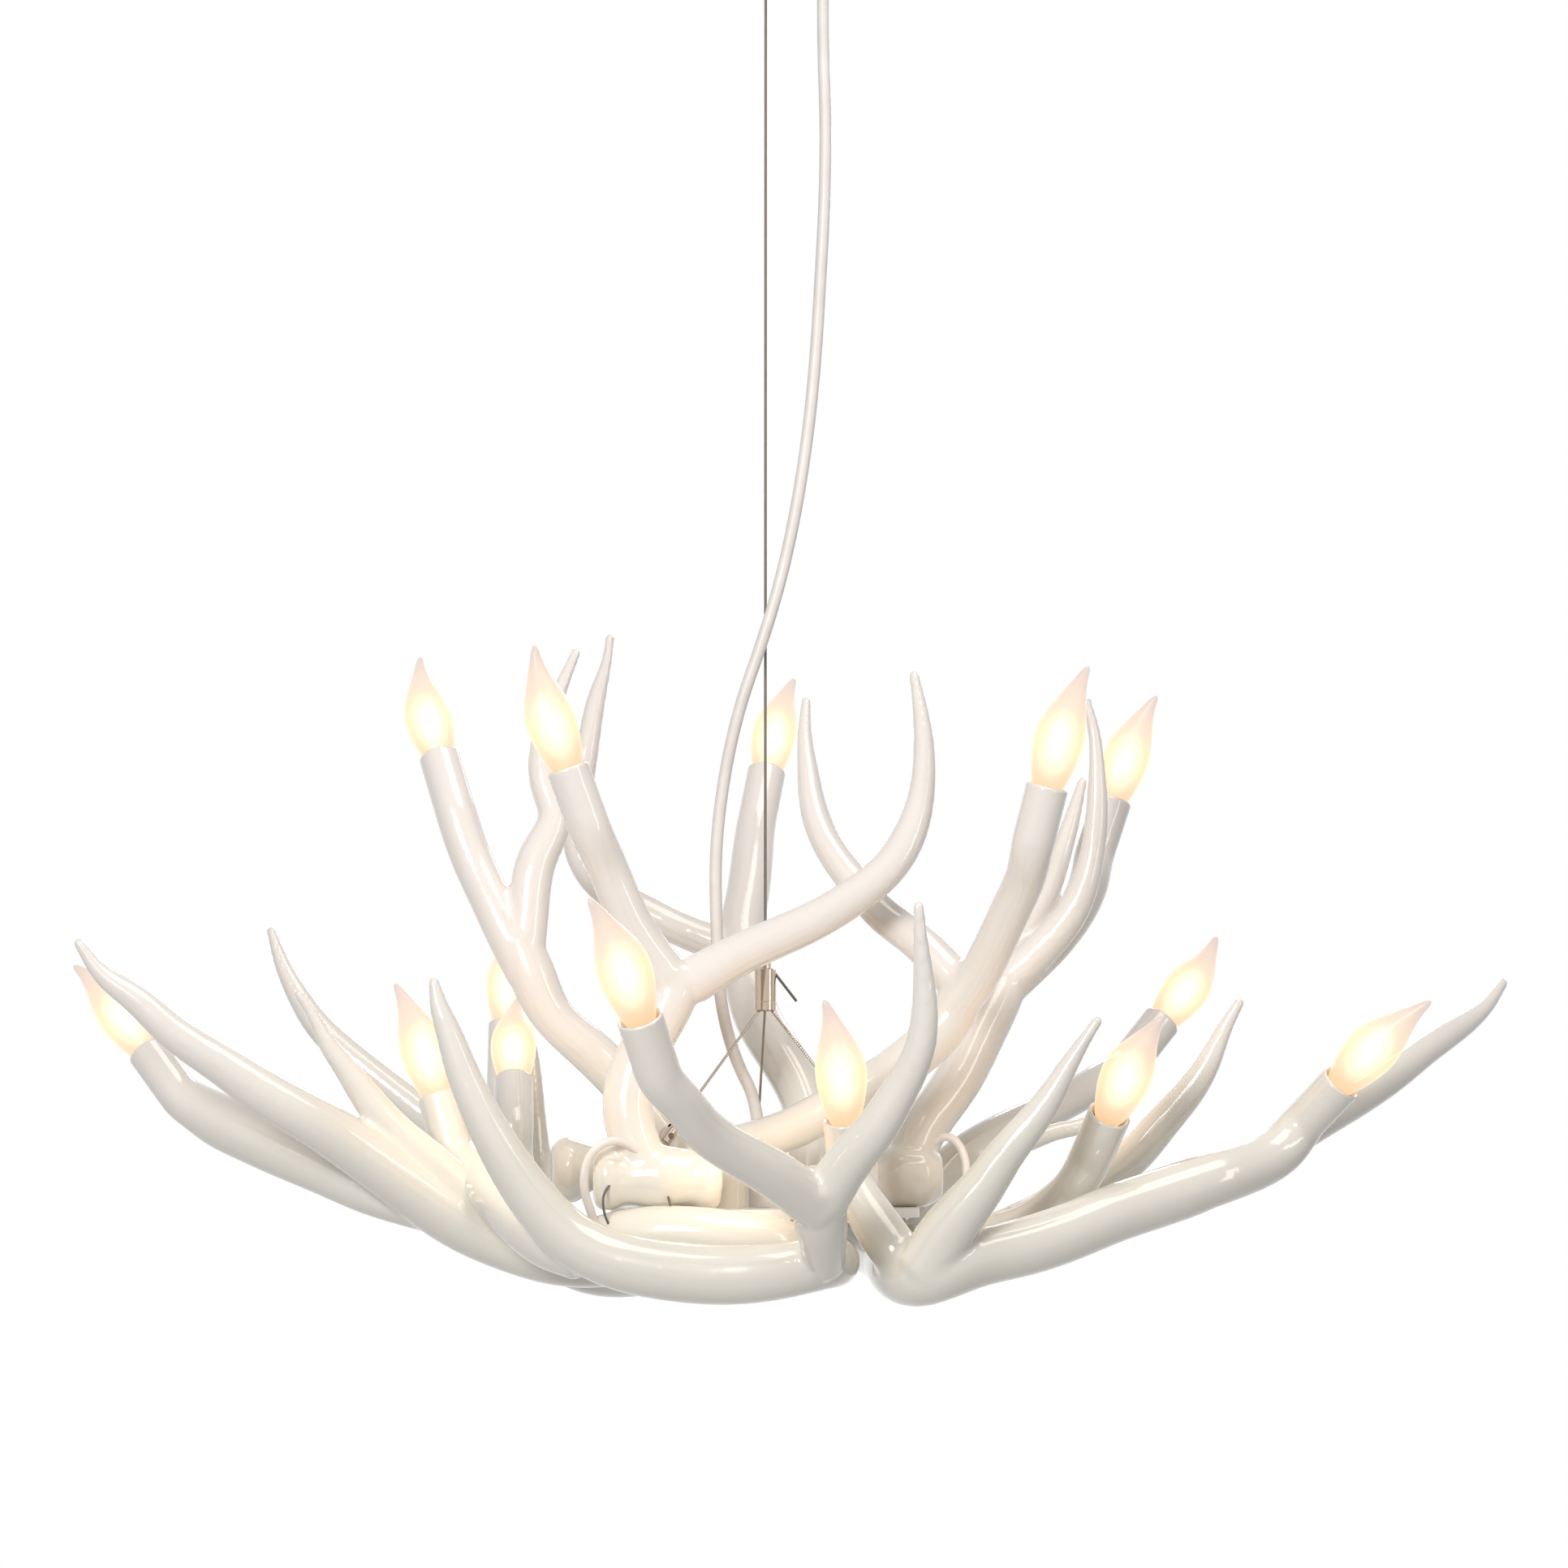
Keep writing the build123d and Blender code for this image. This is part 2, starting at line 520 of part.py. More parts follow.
# ---------------------------------------------------------------- bridle
LEG_NAMES = ["back", "left", "right"]
bridle_legs = {}
for leg_name, spot in zip(LEG_NAMES, LUG_SPOTS):
    across = leg_plane(spot)
    reach = (leg_top(spot) - at_cluster(*spot, 0)).length + LEG_INSERT
    with BuildPart() as bridle_leg:
        with BuildSketch(across.offset(-TERMINAL_HEEL)):
            Circle(TERMINAL_DIAMETER / 2)
        extrude(amount=TERMINAL_LENGTH)
        with BuildSketch(across.offset(-TERMINAL_HEEL)):
            Rectangle(TERMINAL_SLOT, TERMINAL_DIAMETER)
        extrude(amount=TERMINAL_SLOT_DEPTH, mode=Mode.SUBTRACT)
        with BuildSketch(pin_plane(spot)):
            Circle(PIN_HOLE_DIAMETER / 2)
        extrude(amount=TERMINAL_DIAMETER, both=True, mode=Mode.SUBTRACT)
        cable_start = TERMINAL_LENGTH - TERMINAL_HEEL
        with BuildSketch(across.offset(cable_start)):
            Circle(LEG_DIAMETER / 2)
        extrude(amount=reach - cable_start)
    bridle_legs[leg_name] = bridle_leg
    finish(bridle_leg, f"bridle_leg_{leg_name}")

with BuildPart() as leg_collector:
    with BuildSketch(upright((0, 0), GRIPPER_BOTTOM)):
        Circle(GRIPPER_DIAMETER / 2)
        Circle(CABLE_BORE / 2, mode=Mode.SUBTRACT)
    extrude(amount=COLLECTOR_LENGTH)
    chamfer(leg_collector.faces().sort_by(Axis.Z)[0].outer_wire().edges(), length=0.8)
    for bridle_leg in bridle_legs.values():
        add(bridle_leg.part, mode=Mode.SUBTRACT)
finish(leg_collector, "leg_collector")

# ---------------------------------------------------------------- cable gripper
BARREL_BOTTOM = GRIPPER_BOTTOM + COLLECTOR_LENGTH + BODY_GAP
BARREL_TOP = BARREL_BOTTOM + BARREL_LENGTH

with BuildPart() as gripper_tail:
    tail_way = Vector(*TAIL_WAY)
    with BuildSketch(Plane(origin=at_cluster(*TAIL_START), z_dir=tail_way)):
        Circle(CABLE_DIAMETER / 2)
    extrude(amount=TAIL_LENGTH)
finish(gripper_tail, "gripper_tail")

with BuildPart() as gripper_barrel:
    with BuildSketch(upright((0, 0), BARREL_BOTTOM)):
        Circle(GRIPPER_DIAMETER / 2)
        Circle(CABLE_BORE / 2, mode=Mode.SUBTRACT)
    extrude(amount=BARREL_LENGTH)
    chamfer(gripper_barrel.faces().sort_by(Axis.Z)[-1].outer_wire().edges(), length=0.8)
    with BuildSketch(upright((0, 0), BARREL_TOP - SLEEVE_POCKET_DEPTH)):
        Circle(SLEEVE_DIAMETER / 2 + BODY_GAP)
    extrude(amount=SLEEVE_POCKET_DEPTH, mode=Mode.SUBTRACT)
    add(gripper_tail.part, mode=Mode.SUBTRACT)
finish(gripper_barrel, "gripper_barrel")

with BuildPart() as release_sleeve:
    with BuildSketch(upright((0, 0), BARREL_TOP - SLEEVE_DEPTH)):
        Circle(SLEEVE_DIAMETER / 2)
        Circle(CABLE_BORE / 2, mode=Mode.SUBTRACT)
    extrude(amount=SLEEVE_LENGTH)
    chamfer(release_sleeve.faces().sort_by(Axis.Z)[-1].outer_wire().edges(), length=0.6)
finish(release_sleeve, "release_sleeve")

# ---------------------------------------------------------------- ceiling fittings
CANOPY_PLANE = Plane.XY.offset(-CANOPY_HEIGHT)
STEM_LENGTH = CANOPY_HEIGHT - CROSSBAR_THICKNESS
STOP_BOTTOM = -CANOPY_HEIGHT - STOP_LENGTH
CEILING_SPOTS = [(-CEILING_HOLE_SPACING / 2, 0), (CEILING_HOLE_SPACING / 2, 0)]

with BuildPart() as ceiling_crossbar:
    with BuildSketch(Plane.XY.offset(-CROSSBAR_THICKNESS)):
        Rectangle(CROSSBAR_LENGTH, CROSSBAR_WIDTH)
        with Locations(*CEILING_SPOTS):
            Circle(CEILING_HOLE_DIAMETER / 2, mode=Mode.SUBTRACT)
    extrude(amount=CROSSBAR_THICKNESS)
    fillet(ceiling_crossbar.edges().filter_by(Axis.Z).group_by(Axis.X)[0], radius=4)
    fillet(ceiling_crossbar.edges().filter_by(Axis.Z).group_by(Axis.X)[-1], radius=4)
finish(ceiling_crossbar, "ceiling_crossbar")

with BuildPart() as ceiling_screws:
    with BuildSketch(Plane.XY.offset(-CROSSBAR_THICKNESS - CEILING_HEAD_HEIGHT)):
        with Locations(*CEILING_SPOTS):
            Circle(CEILING_HEAD_DIAMETER / 2)
    extrude(amount=CEILING_HEAD_HEIGHT)
    with BuildSketch(Plane.XY.offset(-CROSSBAR_THICKNESS)):
        with Locations(*CEILING_SPOTS):
            Circle(CEILING_SCREW_DIAMETER / 2)
    extrude(amount=CROSSBAR_THICKNESS)
finish(ceiling_screws, "ceiling_screws")

with BuildPart() as canopy_cover:
    with BuildSketch(CANOPY_PLANE):
        Circle(CANOPY_DIAMETER / 2)
    extrude(amount=CANOPY_HEIGHT)
    chamfer(canopy_cover.faces().sort_by(Axis.Z)[0].edges(), length=CANOPY_CHAMFER)
    offset(amount=-CANOPY_WALL, openings=canopy_cover.faces().sort_by(Axis.Z)[-1])
    with BuildSketch(CANOPY_PLANE):
        Circle(STEM_DIAMETER / 2)
        with Locations((CORD_OFFSET, 0)):
            Circle(CORD_DIAMETER / 2)
    extrude(amount=CANOPY_WALL, mode=Mode.SUBTRACT)
finish(canopy_cover, "canopy_cover")

with BuildPart() as cable_stop:
    with BuildSketch(CANOPY_PLANE):
        Circle(STEM_DIAMETER / 2)
    extrude(amount=STEM_LENGTH)
    with BuildSketch(Plane.XY.offset(STOP_BOTTOM)):
        Circle(STOP_DIAMETER / 2)
    extrude(amount=STOP_LENGTH)
    chamfer(cable_stop.faces().sort_by(Axis.Z)[0].edges(), length=1.5)
finish(cable_stop, "cable_stop")

with BuildPart() as cord_strain_relief:
    with Locations((CORD_OFFSET, 0, -CANOPY_HEIGHT - RELIEF_LENGTH)):
        Cone(RELIEF_TIP_DIAMETER / 2, RELIEF_TOP_DIAMETER / 2, RELIEF_LENGTH,
             align=(Align.CENTER, Align.CENTER, Align.MIN))
finish(cord_strain_relief, "cord_strain_relief")

with BuildPart() as main_cable:
    with BuildSketch(upright((0, 0), CABLE_END)):
        Circle(CABLE_DIAMETER / 2)
    extrude(amount=STOP_BOTTOM + CLUSTER_DROP - CABLE_END)
finish(main_cable, "main_cable")

# ---------------------------------------------------------------- lamps
with BuildPart() as lamp_holders:
    for mouth in MOUTHS.values():
        floor = mouth.offset(-BORE_DEPTH)
        with BuildSketch(floor):
            RegularPolygon(HOLDER_DIAMETER / 2, ROUND_SIDES)
        extrude(amount=HOLDER_LENGTH)
        with BuildSketch(floor.offset(HOLDER_FLOOR)):
            RegularPolygon(ROUNDNESS * HOLDER_WELL_DIAMETER / 2, ROUND_SIDES)
        extrude(amount=HOLDER_LENGTH, mode=Mode.SUBTRACT)
finish(lamp_holders, "lamp_holders")

for bulb_name, mouth in MOUTHS.items():
    base_bottom = mouth.offset(-BORE_DEPTH + HOLDER_FLOOR + CONTACT_GAP)
    with BuildPart() as bulb_base:
        with BuildSketch(base_bottom):
            RegularPolygon(BASE_TIP_DIAMETER / 2, ROUND_SIDES)
        extrude(amount=BASE_TIP_LENGTH)
        with BuildSketch(base_bottom.offset(BASE_TIP_LENGTH)):
            RegularPolygon(BASE_DIAMETER / 2, ROUND_SIDES)
        extrude(amount=BORE_DEPTH - HOLDER_FLOOR - CONTACT_GAP - BASE_TIP_LENGTH - GLASS_HEEL)
    finish(bulb_base, f"bulb_base_{bulb_name}")
    with BuildPart() as bulb_glass:
        bend_way = mouth.x_dir * BENDS[bulb_name]
        skin([
            ring(mouth.origin + mouth.z_dir * height + bend_way * bend, mouth.z_dir,
                 mouth.x_dir, diameter)
            for height, diameter, bend in GLASS_PROFILE])
    finish(bulb_glass, f"bulb_glass_{bulb_name}")


# ---------------------------------------------------------------- antlers
def cast_antler(shape):
    """Add an antler's limbs to the open part and bore its sockets."""
    for route in shape["limbs"]:
        limb(route)
    for socket_name, (point, lean, stations) in shape["sockets"].items():
        limb(stations, MOUTHS[socket_name])
    for socket_name in shape["sockets"]:
        with BuildSketch(MOUTHS[socket_name].offset(-BORE_DEPTH)) as bore:
            RegularPolygon(ROUNDNESS * BORE_DIAMETER / 2, 2 * ROUND_SIDES)
        extrude(bore.sketch, amount=BORE_DEPTH + MOUTH_DIAMETER, mode=Mode.SUBTRACT)


seated = [jumper_cords, lashing_wires, antler_screws]
for antler_name, shape in UPPER_ANTLERS.items():
    with BuildPart() as antler:
        cast_antler(shape)
        split(bisect_by=upright((0, 0), PLATE_TOP), keep=Keep.TOP)
        for neighbour in seated:
            add(neighbour.part, mode=Mode.SUBTRACT)
    seated.append(antler)
    finish(antler, antler_name)

for antler_name, shape in LOWER_ANTLERS.items():
    with BuildPart() as antler:
        cast_antler(shape)
        with BuildSketch(upright((0, 0), PLATE_TOP - PLATE_THICKNESS)):
            Circle(PLATE_RADIUS)
        extrude(amount=2 * PLATE_RADIUS, mode=Mode.SUBTRACT)
        for neighbour in seated:
            add(neighbour.part, mode=Mode.SUBTRACT)
    seated.append(antler)
    finish(antler, antler_name)
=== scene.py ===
"""Antler chandelier dressed for the photograph's view, in metres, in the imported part's frame."""
import json
import math

import bpy
import numpy as np
from mathutils import Matrix, Vector
from mathutils.kdtree import KDTree


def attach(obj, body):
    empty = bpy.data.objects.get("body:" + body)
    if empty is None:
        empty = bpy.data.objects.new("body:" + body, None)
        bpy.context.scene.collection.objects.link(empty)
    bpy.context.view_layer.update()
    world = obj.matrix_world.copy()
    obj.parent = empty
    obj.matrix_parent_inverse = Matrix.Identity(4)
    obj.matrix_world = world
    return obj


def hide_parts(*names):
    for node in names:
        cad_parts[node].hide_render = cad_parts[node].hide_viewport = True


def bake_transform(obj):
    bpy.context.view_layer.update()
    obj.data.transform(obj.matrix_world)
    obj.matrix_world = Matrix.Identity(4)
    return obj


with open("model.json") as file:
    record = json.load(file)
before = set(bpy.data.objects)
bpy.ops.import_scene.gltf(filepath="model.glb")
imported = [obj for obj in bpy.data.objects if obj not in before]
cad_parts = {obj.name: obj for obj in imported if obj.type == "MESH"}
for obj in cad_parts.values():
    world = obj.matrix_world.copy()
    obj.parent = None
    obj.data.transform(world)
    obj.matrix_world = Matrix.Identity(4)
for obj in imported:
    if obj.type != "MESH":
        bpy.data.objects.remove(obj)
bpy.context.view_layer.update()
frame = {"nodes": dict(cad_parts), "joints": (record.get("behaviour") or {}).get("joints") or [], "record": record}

# ---------------------------------------------------------------- sizes, in metres
CLUSTER_DROP = 0.830  # ceiling to the level that the cord routes are measured from
CAMERA_DISTANCE = 2.7
CAMERA_LENS = 95.1  # millimetres
CAMERA_TILT = 4.86  # degrees above the horizon
CAMERA_TURN = -0.258  # degrees, to the right of the cable
FLOOR_DROP = 2.4
FLOOR_SIZE = 9.0
WORLD_FILL = 0.12  # strength of the world on the object
FLOOR_GLOW = 0.7  # strength of the floor's white, seen but lighting nothing
LAMP_TARGET = (0, 0, -0.79)
# name, place, width and height, watts, colour
AREA_LAMPS = [
    ("key", (-0.9, -2.5, 0.0), (0.8, 0.8), 46, (1, 0.985, 0.96)),
    ("strip", (2.2, -1.8, -0.2), (0.3, 1.6), 7, (1, 0.975, 0.95)),
    ("overhead", (0.5, -0.9, 1.1), (1.2, 1.2), 16, (1, 0.94, 0.88)),
    ("rim", (0.6, 2.2, 0.6), (1.2, 0.8), 18, (1, 0.95, 0.90)),
]
# light of the bulbs on the antlers around them, with z from the cluster level
WARM_LAMPS = [
    (-0.01, -0.125, -0.01), (-0.17, -0.11, 0.03), (0.18, -0.05, 0.03), (0.02, 0.16, 0.04)]
WARM_POWER = 0.09
WARM_COLOUR = (1, 0.70, 0.42)
WARM_RADIUS = 0.03

CLUSTER_BODY = "fixture"  # the body of the antlers, hub, bridle and short cords
MM = 0.001
AXIS_RADIUS = 0.0001  # stands for nothing where a turned shape ends on its axis

VOXEL = 0.0018
LIMB_SIDES = 28
LIMB_PITCH = 0.005
TIP_CROWN = 0.0025  # how far a free end is rounded
CROWN_ANGLES = (1.4, 1.0, 0.5)  # radians, from a free end's point to its first section
SMOOTHING_ROUNDS = 45
SMOOTHING_STEPS = (0.63, -0.66)  # one step in and one out, so that the volume stays
LEAST_SMOOTHING = 0.15  # share of each step that the thinnest tips get
FULL_WIDTH = 0.011  # from this thickness a limb is smoothed in full
SHARP_ANGLE = 65  # degrees, from which an edge is shaded sharp

MOUTH_RADIUS = 0.0135
MOUTH_LENGTH = 0.036  # straight part of a socket limb
MOUTH_SPARE = 0.008  # extra length that the mouth's cutter takes off
BORE_RADIUS = 0.01125
BORE_DEPTH = 0.034
LIP = 0.0013  # rounding of a socket's lip
CUTTER_HEIGHT = 0.012  # above the mouth
CUTTER_RADIUS = 0.022
CUTTER_SIDES = 72
PLATE_RADIUS = 0.100
PLATE_TOP = -0.046  # above the cluster level
PLATE_THICKNESS = 0.006
SLAB_BOTTOM = -1.2  # below everything, from the cluster level
SLAB_RADIUS = 1.0
SLAB_SIDES = 96

GLASS_HEEL = 0.0075  # depth of a bulb's glass below the mouth
END_BAND = 0.0002  # depth in which points count as a glass's foot or tip
BULB_RINGS = 40
BULB_SEGMENTS = 40
LEAST_FLAME_RADIUS = 0.0004
GLOW_HEIGHT = 0.027  # middle of the glow above the mouth
GLOW_HALF_LENGTH = 0.026
GLOW_RADIUS = 0.0136
GLOW_RINGS = 16
GLOW_SWEEP = 1.5  # radians, from the glow's waist to its last ring
GLOW_STRENGTH = 160.0

CORD_DIAMETER = 0.008
JUMPER_DIAMETER = 0.0055
LASHING_DIAMETER = 0.0016
CABLE_DIAMETER = 0.002
LEG_DIAMETER = 0.0018
STRANDS = 6
STRAND_PITCH = 0.011
STRAND_SIDES = 5
STRAND_ROWS = 12  # rows of points in each turn of a strand
STRAND_SHARE = 0.36  # a strand's radius as a share of the cable's
CABLE_END = 0.085  # above the cluster level
CABLE_TOP = -0.044
TAIL_START = (0.005, 0.0, 0.1074)
TAIL_WAY = (0.61, 0.0, -0.79)
TAIL_LENGTH = 0.025
TERMINAL_LENGTH = 0.0095  # from a leg's eye to its bare cable
LEG_TOP_BAND = 0.0012  # depth in which points count as a leg's upper end
LEG_NAMES = ("bridle_leg_back", "bridle_leg_left", "bridle_leg_right")

# a flame bulb: height above the mouth, radius, sideways bend
FLAME = [
    (-0.0075, 0.0062, 0.0), (-0.003, 0.0088, 0.0), (0.004, 0.0113, 0.0), (0.012, 0.0135, 0.0),
    (0.021, 0.0152, 0.0), (0.030, 0.01588, 0.0), (0.039, 0.0150, 0.0002), (0.048, 0.0124, 0.0008),
    (0.056, 0.0092, 0.0017), (0.064, 0.0062, 0.0030), (0.071, 0.0040, 0.0044),
    (0.0765, 0.0024, 0.0058), (0.079, 0.0008, 0.0064)]

# cord routes, with z from the cluster level
POWER_ROUTE = [
    (0.038, 0.0, 0.782), (0.038, 0.0, 0.724), (0.040, -0.002, 0.668), (0.039, -0.002, 0.612),
    (0.036, -0.001, 0.560), (0.033, -0.003, 0.510), (0.028, -0.004, 0.460), (0.020, -0.008, 0.408),
    (0.010, -0.011, 0.362), (-0.002, -0.011, 0.322), (-0.017, -0.006, 0.280),
    (-0.027, 0.001, 0.236), (-0.033, 0.006, 0.186), (-0.032, 0.010, 0.134),
    (-0.030, 0.014, 0.088), (-0.020, 0.020, 0.050), (-0.004, 0.025, 0.020),
    (-0.004, 0.025, -0.012)]
LEFT_JUMPER_ROUTE = [
    (-0.070, -0.088, -0.018), (-0.084, -0.103, -0.004), (-0.099, -0.108, -0.002),
    (-0.111, -0.107, -0.013), (-0.114, -0.103, -0.032), (-0.108, -0.095, -0.050),
    (-0.103, -0.084, -0.068)]
RIGHT_JUMPER_ROUTE = [
    (0.100, 0.022, -0.018), (0.110, 0.021, -0.001), (0.123, 0.018, 0.0), (0.131, 0.013, -0.013),
    (0.131, 0.007, -0.032), (0.125, 0.003, -0.050), (0.118, 0.006, -0.070)]
OUTER_LASHING_ROUTE = [
    (-0.090, -0.094, -0.024), (-0.101, -0.109, -0.032), (-0.101, -0.108, -0.048),
    (-0.094, -0.096, -0.062), (-0.088, -0.084, -0.072)]
INNER_LASHING_ROUTE = [
    (-0.062, -0.096, -0.034), (-0.058, -0.107, -0.044), (-0.060, -0.100, -0.058),
    (-0.066, -0.086, -0.068)]
# name, route, diameter, slot, node that it stands for
FIXED_CORDS = [
    ("left_jumper", LEFT_JUMPER_ROUTE, JUMPER_DIAMETER, "cord_white", "jumper_cords"),
    ("right_jumper", RIGHT_JUMPER_ROUTE, JUMPER_DIAMETER, "cord_white", "jumper_cords"),
    ("outer_lashing", OUTER_LASHING_ROUTE, LASHING_DIAMETER, "dark_wire", "lashing_wires"),
    ("inner_lashing", INNER_LASHING_ROUTE, LASHING_DIAMETER, "dark_wire", "lashing_wires"),
]

# ---------------------------------------------------------------- antler stations
# Every limb is a list of (x, y, z, diameter) in millimetres from its free end to its root, with
# z from the cluster level. A limb under a bulb's name starts at that bulb's socket, and a limb
# that joins two others starts inside one of them.
UPPER_LEFT = {
    "sockets": {
        "upper_left": [
            (-195, 24, 186, 27), (-181, 17, 156, 27), (-168, 12, 130, 28), (-155, 10, 106, 29)],
    },
    "limbs": [
        [(-126, 40, 321, 6), (-137, 36, 294, 10), (-146, 31, 262, 17), (-145, 26, 230, 20),
         (-139, 23, 210, 22), (-149, 18, 184, 26), (-155, 14, 152, 27), (-158, 10, 116, 28)],
        [(-162, 10, 130, 27), (-152, 10, 104, 31), (-140, 10, 80, 28), (-117, 14, 58, 29),
         (-88, 24, 28, 29), (-62, 34, -6, 30), (-48, 39, -32, 32), (-46, 40, -56, 32)],
    ],
}
UPPER_FRONT = {
    "sockets": {
        "upper_front": [
            (-101, -99, 172, 26), (-91, -91, 148, 26), (-76, -83, 120, 27), (-60, -77, 98, 29)],
    },
    "limbs": [
        [(96, -40, 297, 6), (100, -45, 272, 10), (102, -50, 244, 14), (100, -54, 218, 17),
         (93, -59, 194, 21), (79, -63, 171, 23), (58, -67, 153, 24), (32, -69, 137, 25),
         (6, -71, 125, 26), (-20, -73, 113, 27), (-48, -75, 97, 30)],
        [(-50, -75, 105, 27), (-58, -76, 90, 31), (-68, -78, 70, 31), (-79, -80, 50, 31),
         (-86, -82, 28, 32), (-85, -84, 6, 31), (-74, -86, -22, 30)],
        [(-106, -84, -26, 36), (-99, -84, -26, 43), (-92, -84, -26, 38), (-64, -84, -26, 41),
         (-44, -82, -26, 38), (-36, -81, -26, 43), (-29, -80, -26, 34)],
    ],
}
UPPER_BACK = {
    "sockets": {
        "upper_back": [
            (-9, 190, 196, 29), (-12, 172, 169, 30), (-16, 153, 140, 31), (-13, 135, 111, 32),
            (-6, 114, 82, 32), (10, 91, 54, 32), (24, 74, 28, 31), (30, 58, 0, 30),
            (31, 50, -28, 32), (31, 48, -56, 33)],
    },
    "limbs": [
        [(-109, 185, 348, 6), (-111, 182, 332, 7), (-117, 180, 309, 12), (-122, 175, 282, 15),
         (-127, 171, 250, 17), (-131, 167, 221, 19), (-128, 163, 195, 21), (-113, 159, 173, 23),
         (-86, 154, 156, 24), (-58, 151, 142, 24), (-16, 148, 126, 27)],
    ],
}
UPPER_RIGHT = {
    "sockets": {
        "upper_right": [
            (165, -93, 166, 26), (157, -78, 146, 26), (147, -65, 124, 26), (134, -50, 99, 27),
            (120, -42, 80, 28)],
    },
    "limbs": [
        [(27, 35, 288, 6), (26, 29, 267, 9), (28, 21, 240, 14), (32, 12, 213, 18),
         (42, 3, 188, 20), (59, -6, 164, 22), (77, -16, 143, 24), (98, -27, 126, 25),
         (124, -40, 98, 27)],
        [(134, -44, 106, 27), (120, -41, 78, 30), (103, -42, 58, 30), (75, -46, 37, 29),
         (46, -45, 20, 28), (17, -38, 5, 27), (-15, -24, -5, 26), (-50, -6, -12, 28),
         (-90, -9, -17, 29), (-114, -14, -20, 31), (-122, -15, -21, 40), (-131, -16, -22, 41),
         (-138, -17, -22, 30)],
        [(-22, -19, -4, 22), (-24, -19, -56, 27)],
    ],
}
UPPER_FAR_RIGHT = {
    "sockets": {
        "upper_far_right": [
            (220, 112, 172, 27), (208, 101, 148, 27), (190, 89, 127, 28), (160, 76, 99, 29)],
    },
    "limbs": [
        [(215, 60, 291, 6), (220, 61, 270, 8), (222, 62, 244, 11), (222, 64, 217, 15),
         (218, 66, 184, 17), (207, 68, 152, 21), (186, 72, 126, 24), (158, 76, 100, 27)],
        [(216, 110, 241, 6), (208, 105, 214, 11), (199, 100, 187, 15), (187, 94, 159, 19),
         (170, 87, 132, 22), (156, 78, 104, 24)],
        [(166, 80, 112, 28), (154, 71, 88, 32), (142, 61, 65, 33), (128, 49, 38, 32),
         (110, 37, 13, 31), (96, 26, -12, 32), (92, 22, -30, 32)],
        [(72, 21, -26, 26), (80, 21, -26, 38), (94, 22, -26, 42), (108, 23, -26, 38),
         (116, 23, -26, 26)],
    ],
}
LOWER_FRONT = {
    "sockets": {
        "lower_front_outer": [
            (-49, -295, 20, 25), (-37, -279, 5, 26), (-18, -261, -9, 27), (3, -244, -21, 29),
            (32, -216, -42, 31)],
        "lower_front_inner": [
            (-189, -52, -19, 26), (-172, -88, -37, 27), (-152, -120, -55, 28),
            (-130, -146, -68, 29), (-112, -158, -73, 30)],
    },
    "limbs": [
        [(-202, -175, 94, 6), (-199, -174, 80, 11), (-194, -173, 66, 15), (-187, -172, 46, 19),
         (-178, -171, 24, 22), (-167, -170, 2, 25), (-154, -168, -20, 28), (-138, -166, -42, 31),
         (-118, -165, -62, 33), (-91, -166, -75, 35), (-56, -168, -82, 36), (-21, -170, -84, 36),
         (12, -171, -81, 34), (36, -160, -77, 32), (42, -130, -77, 32), (34, -95, -76, 32),
         (20, -55, -72, 32)],
        [(90, -270, 135, 6), (91, -267, 119, 8), (93, -261, 96, 12), (94, -256, 72, 16),
         (90, -251, 48, 19), (79, -245, 26, 22), (66, -240, 5, 25), (52, -233, -12, 27),
         (32, -214, -42, 31)],
        [(31, -226, -26, 30), (33, -208, -48, 33), (35, -191, -65, 28), (36, -172, -78, 25)],
    ],
}
LOWER_RIGHT = {
    "sockets": {
        "lower_right_outer": [
            (329, -77, -5, 30), (310, -86, -17, 32), (283, -99, -26, 34), (250, -109, -37, 35)],
        "lower_right_inner": [
            (56, -122, -33, 26), (66, -128, -50, 29), (78, -136, -68, 31), (92, -142, -88, 32)],
    },
    "limbs": [
        [(492, 60, 102, 6), (478, 46, 86, 10), (458, 30, 72, 16), (433, 8, 57, 19),
         (406, -16, 39, 21), (379, -37, 23, 22), (353, -56, 10, 24), (329, -72, -3, 26),
         (306, -86, -16, 28), (281, -98, -26, 28)],
        [(296, -93, -22, 27), (280, -99, -27, 33), (250, -109, -37, 36),
         (216, -118, -48, 36), (185, -127, -60, 36), (159, -133, -68, 36), (129, -141, -75, 36),
         (98, -146, -84, 39), (84, -118, -84, 37), (78, -78, -79, 33), (70, -40, -74, 31),
         (61, 0, -72, 31)],
        [(202, -180, 70, 6), (194, -178, 58, 8), (184, -176, 42, 12), (174, -174, 25, 16),
         (161, -172, 7, 20), (147, -169, -10, 23), (133, -165, -30, 27), (114, -158, -54, 33),
         (97, -148, -82, 38)],
    ],
}
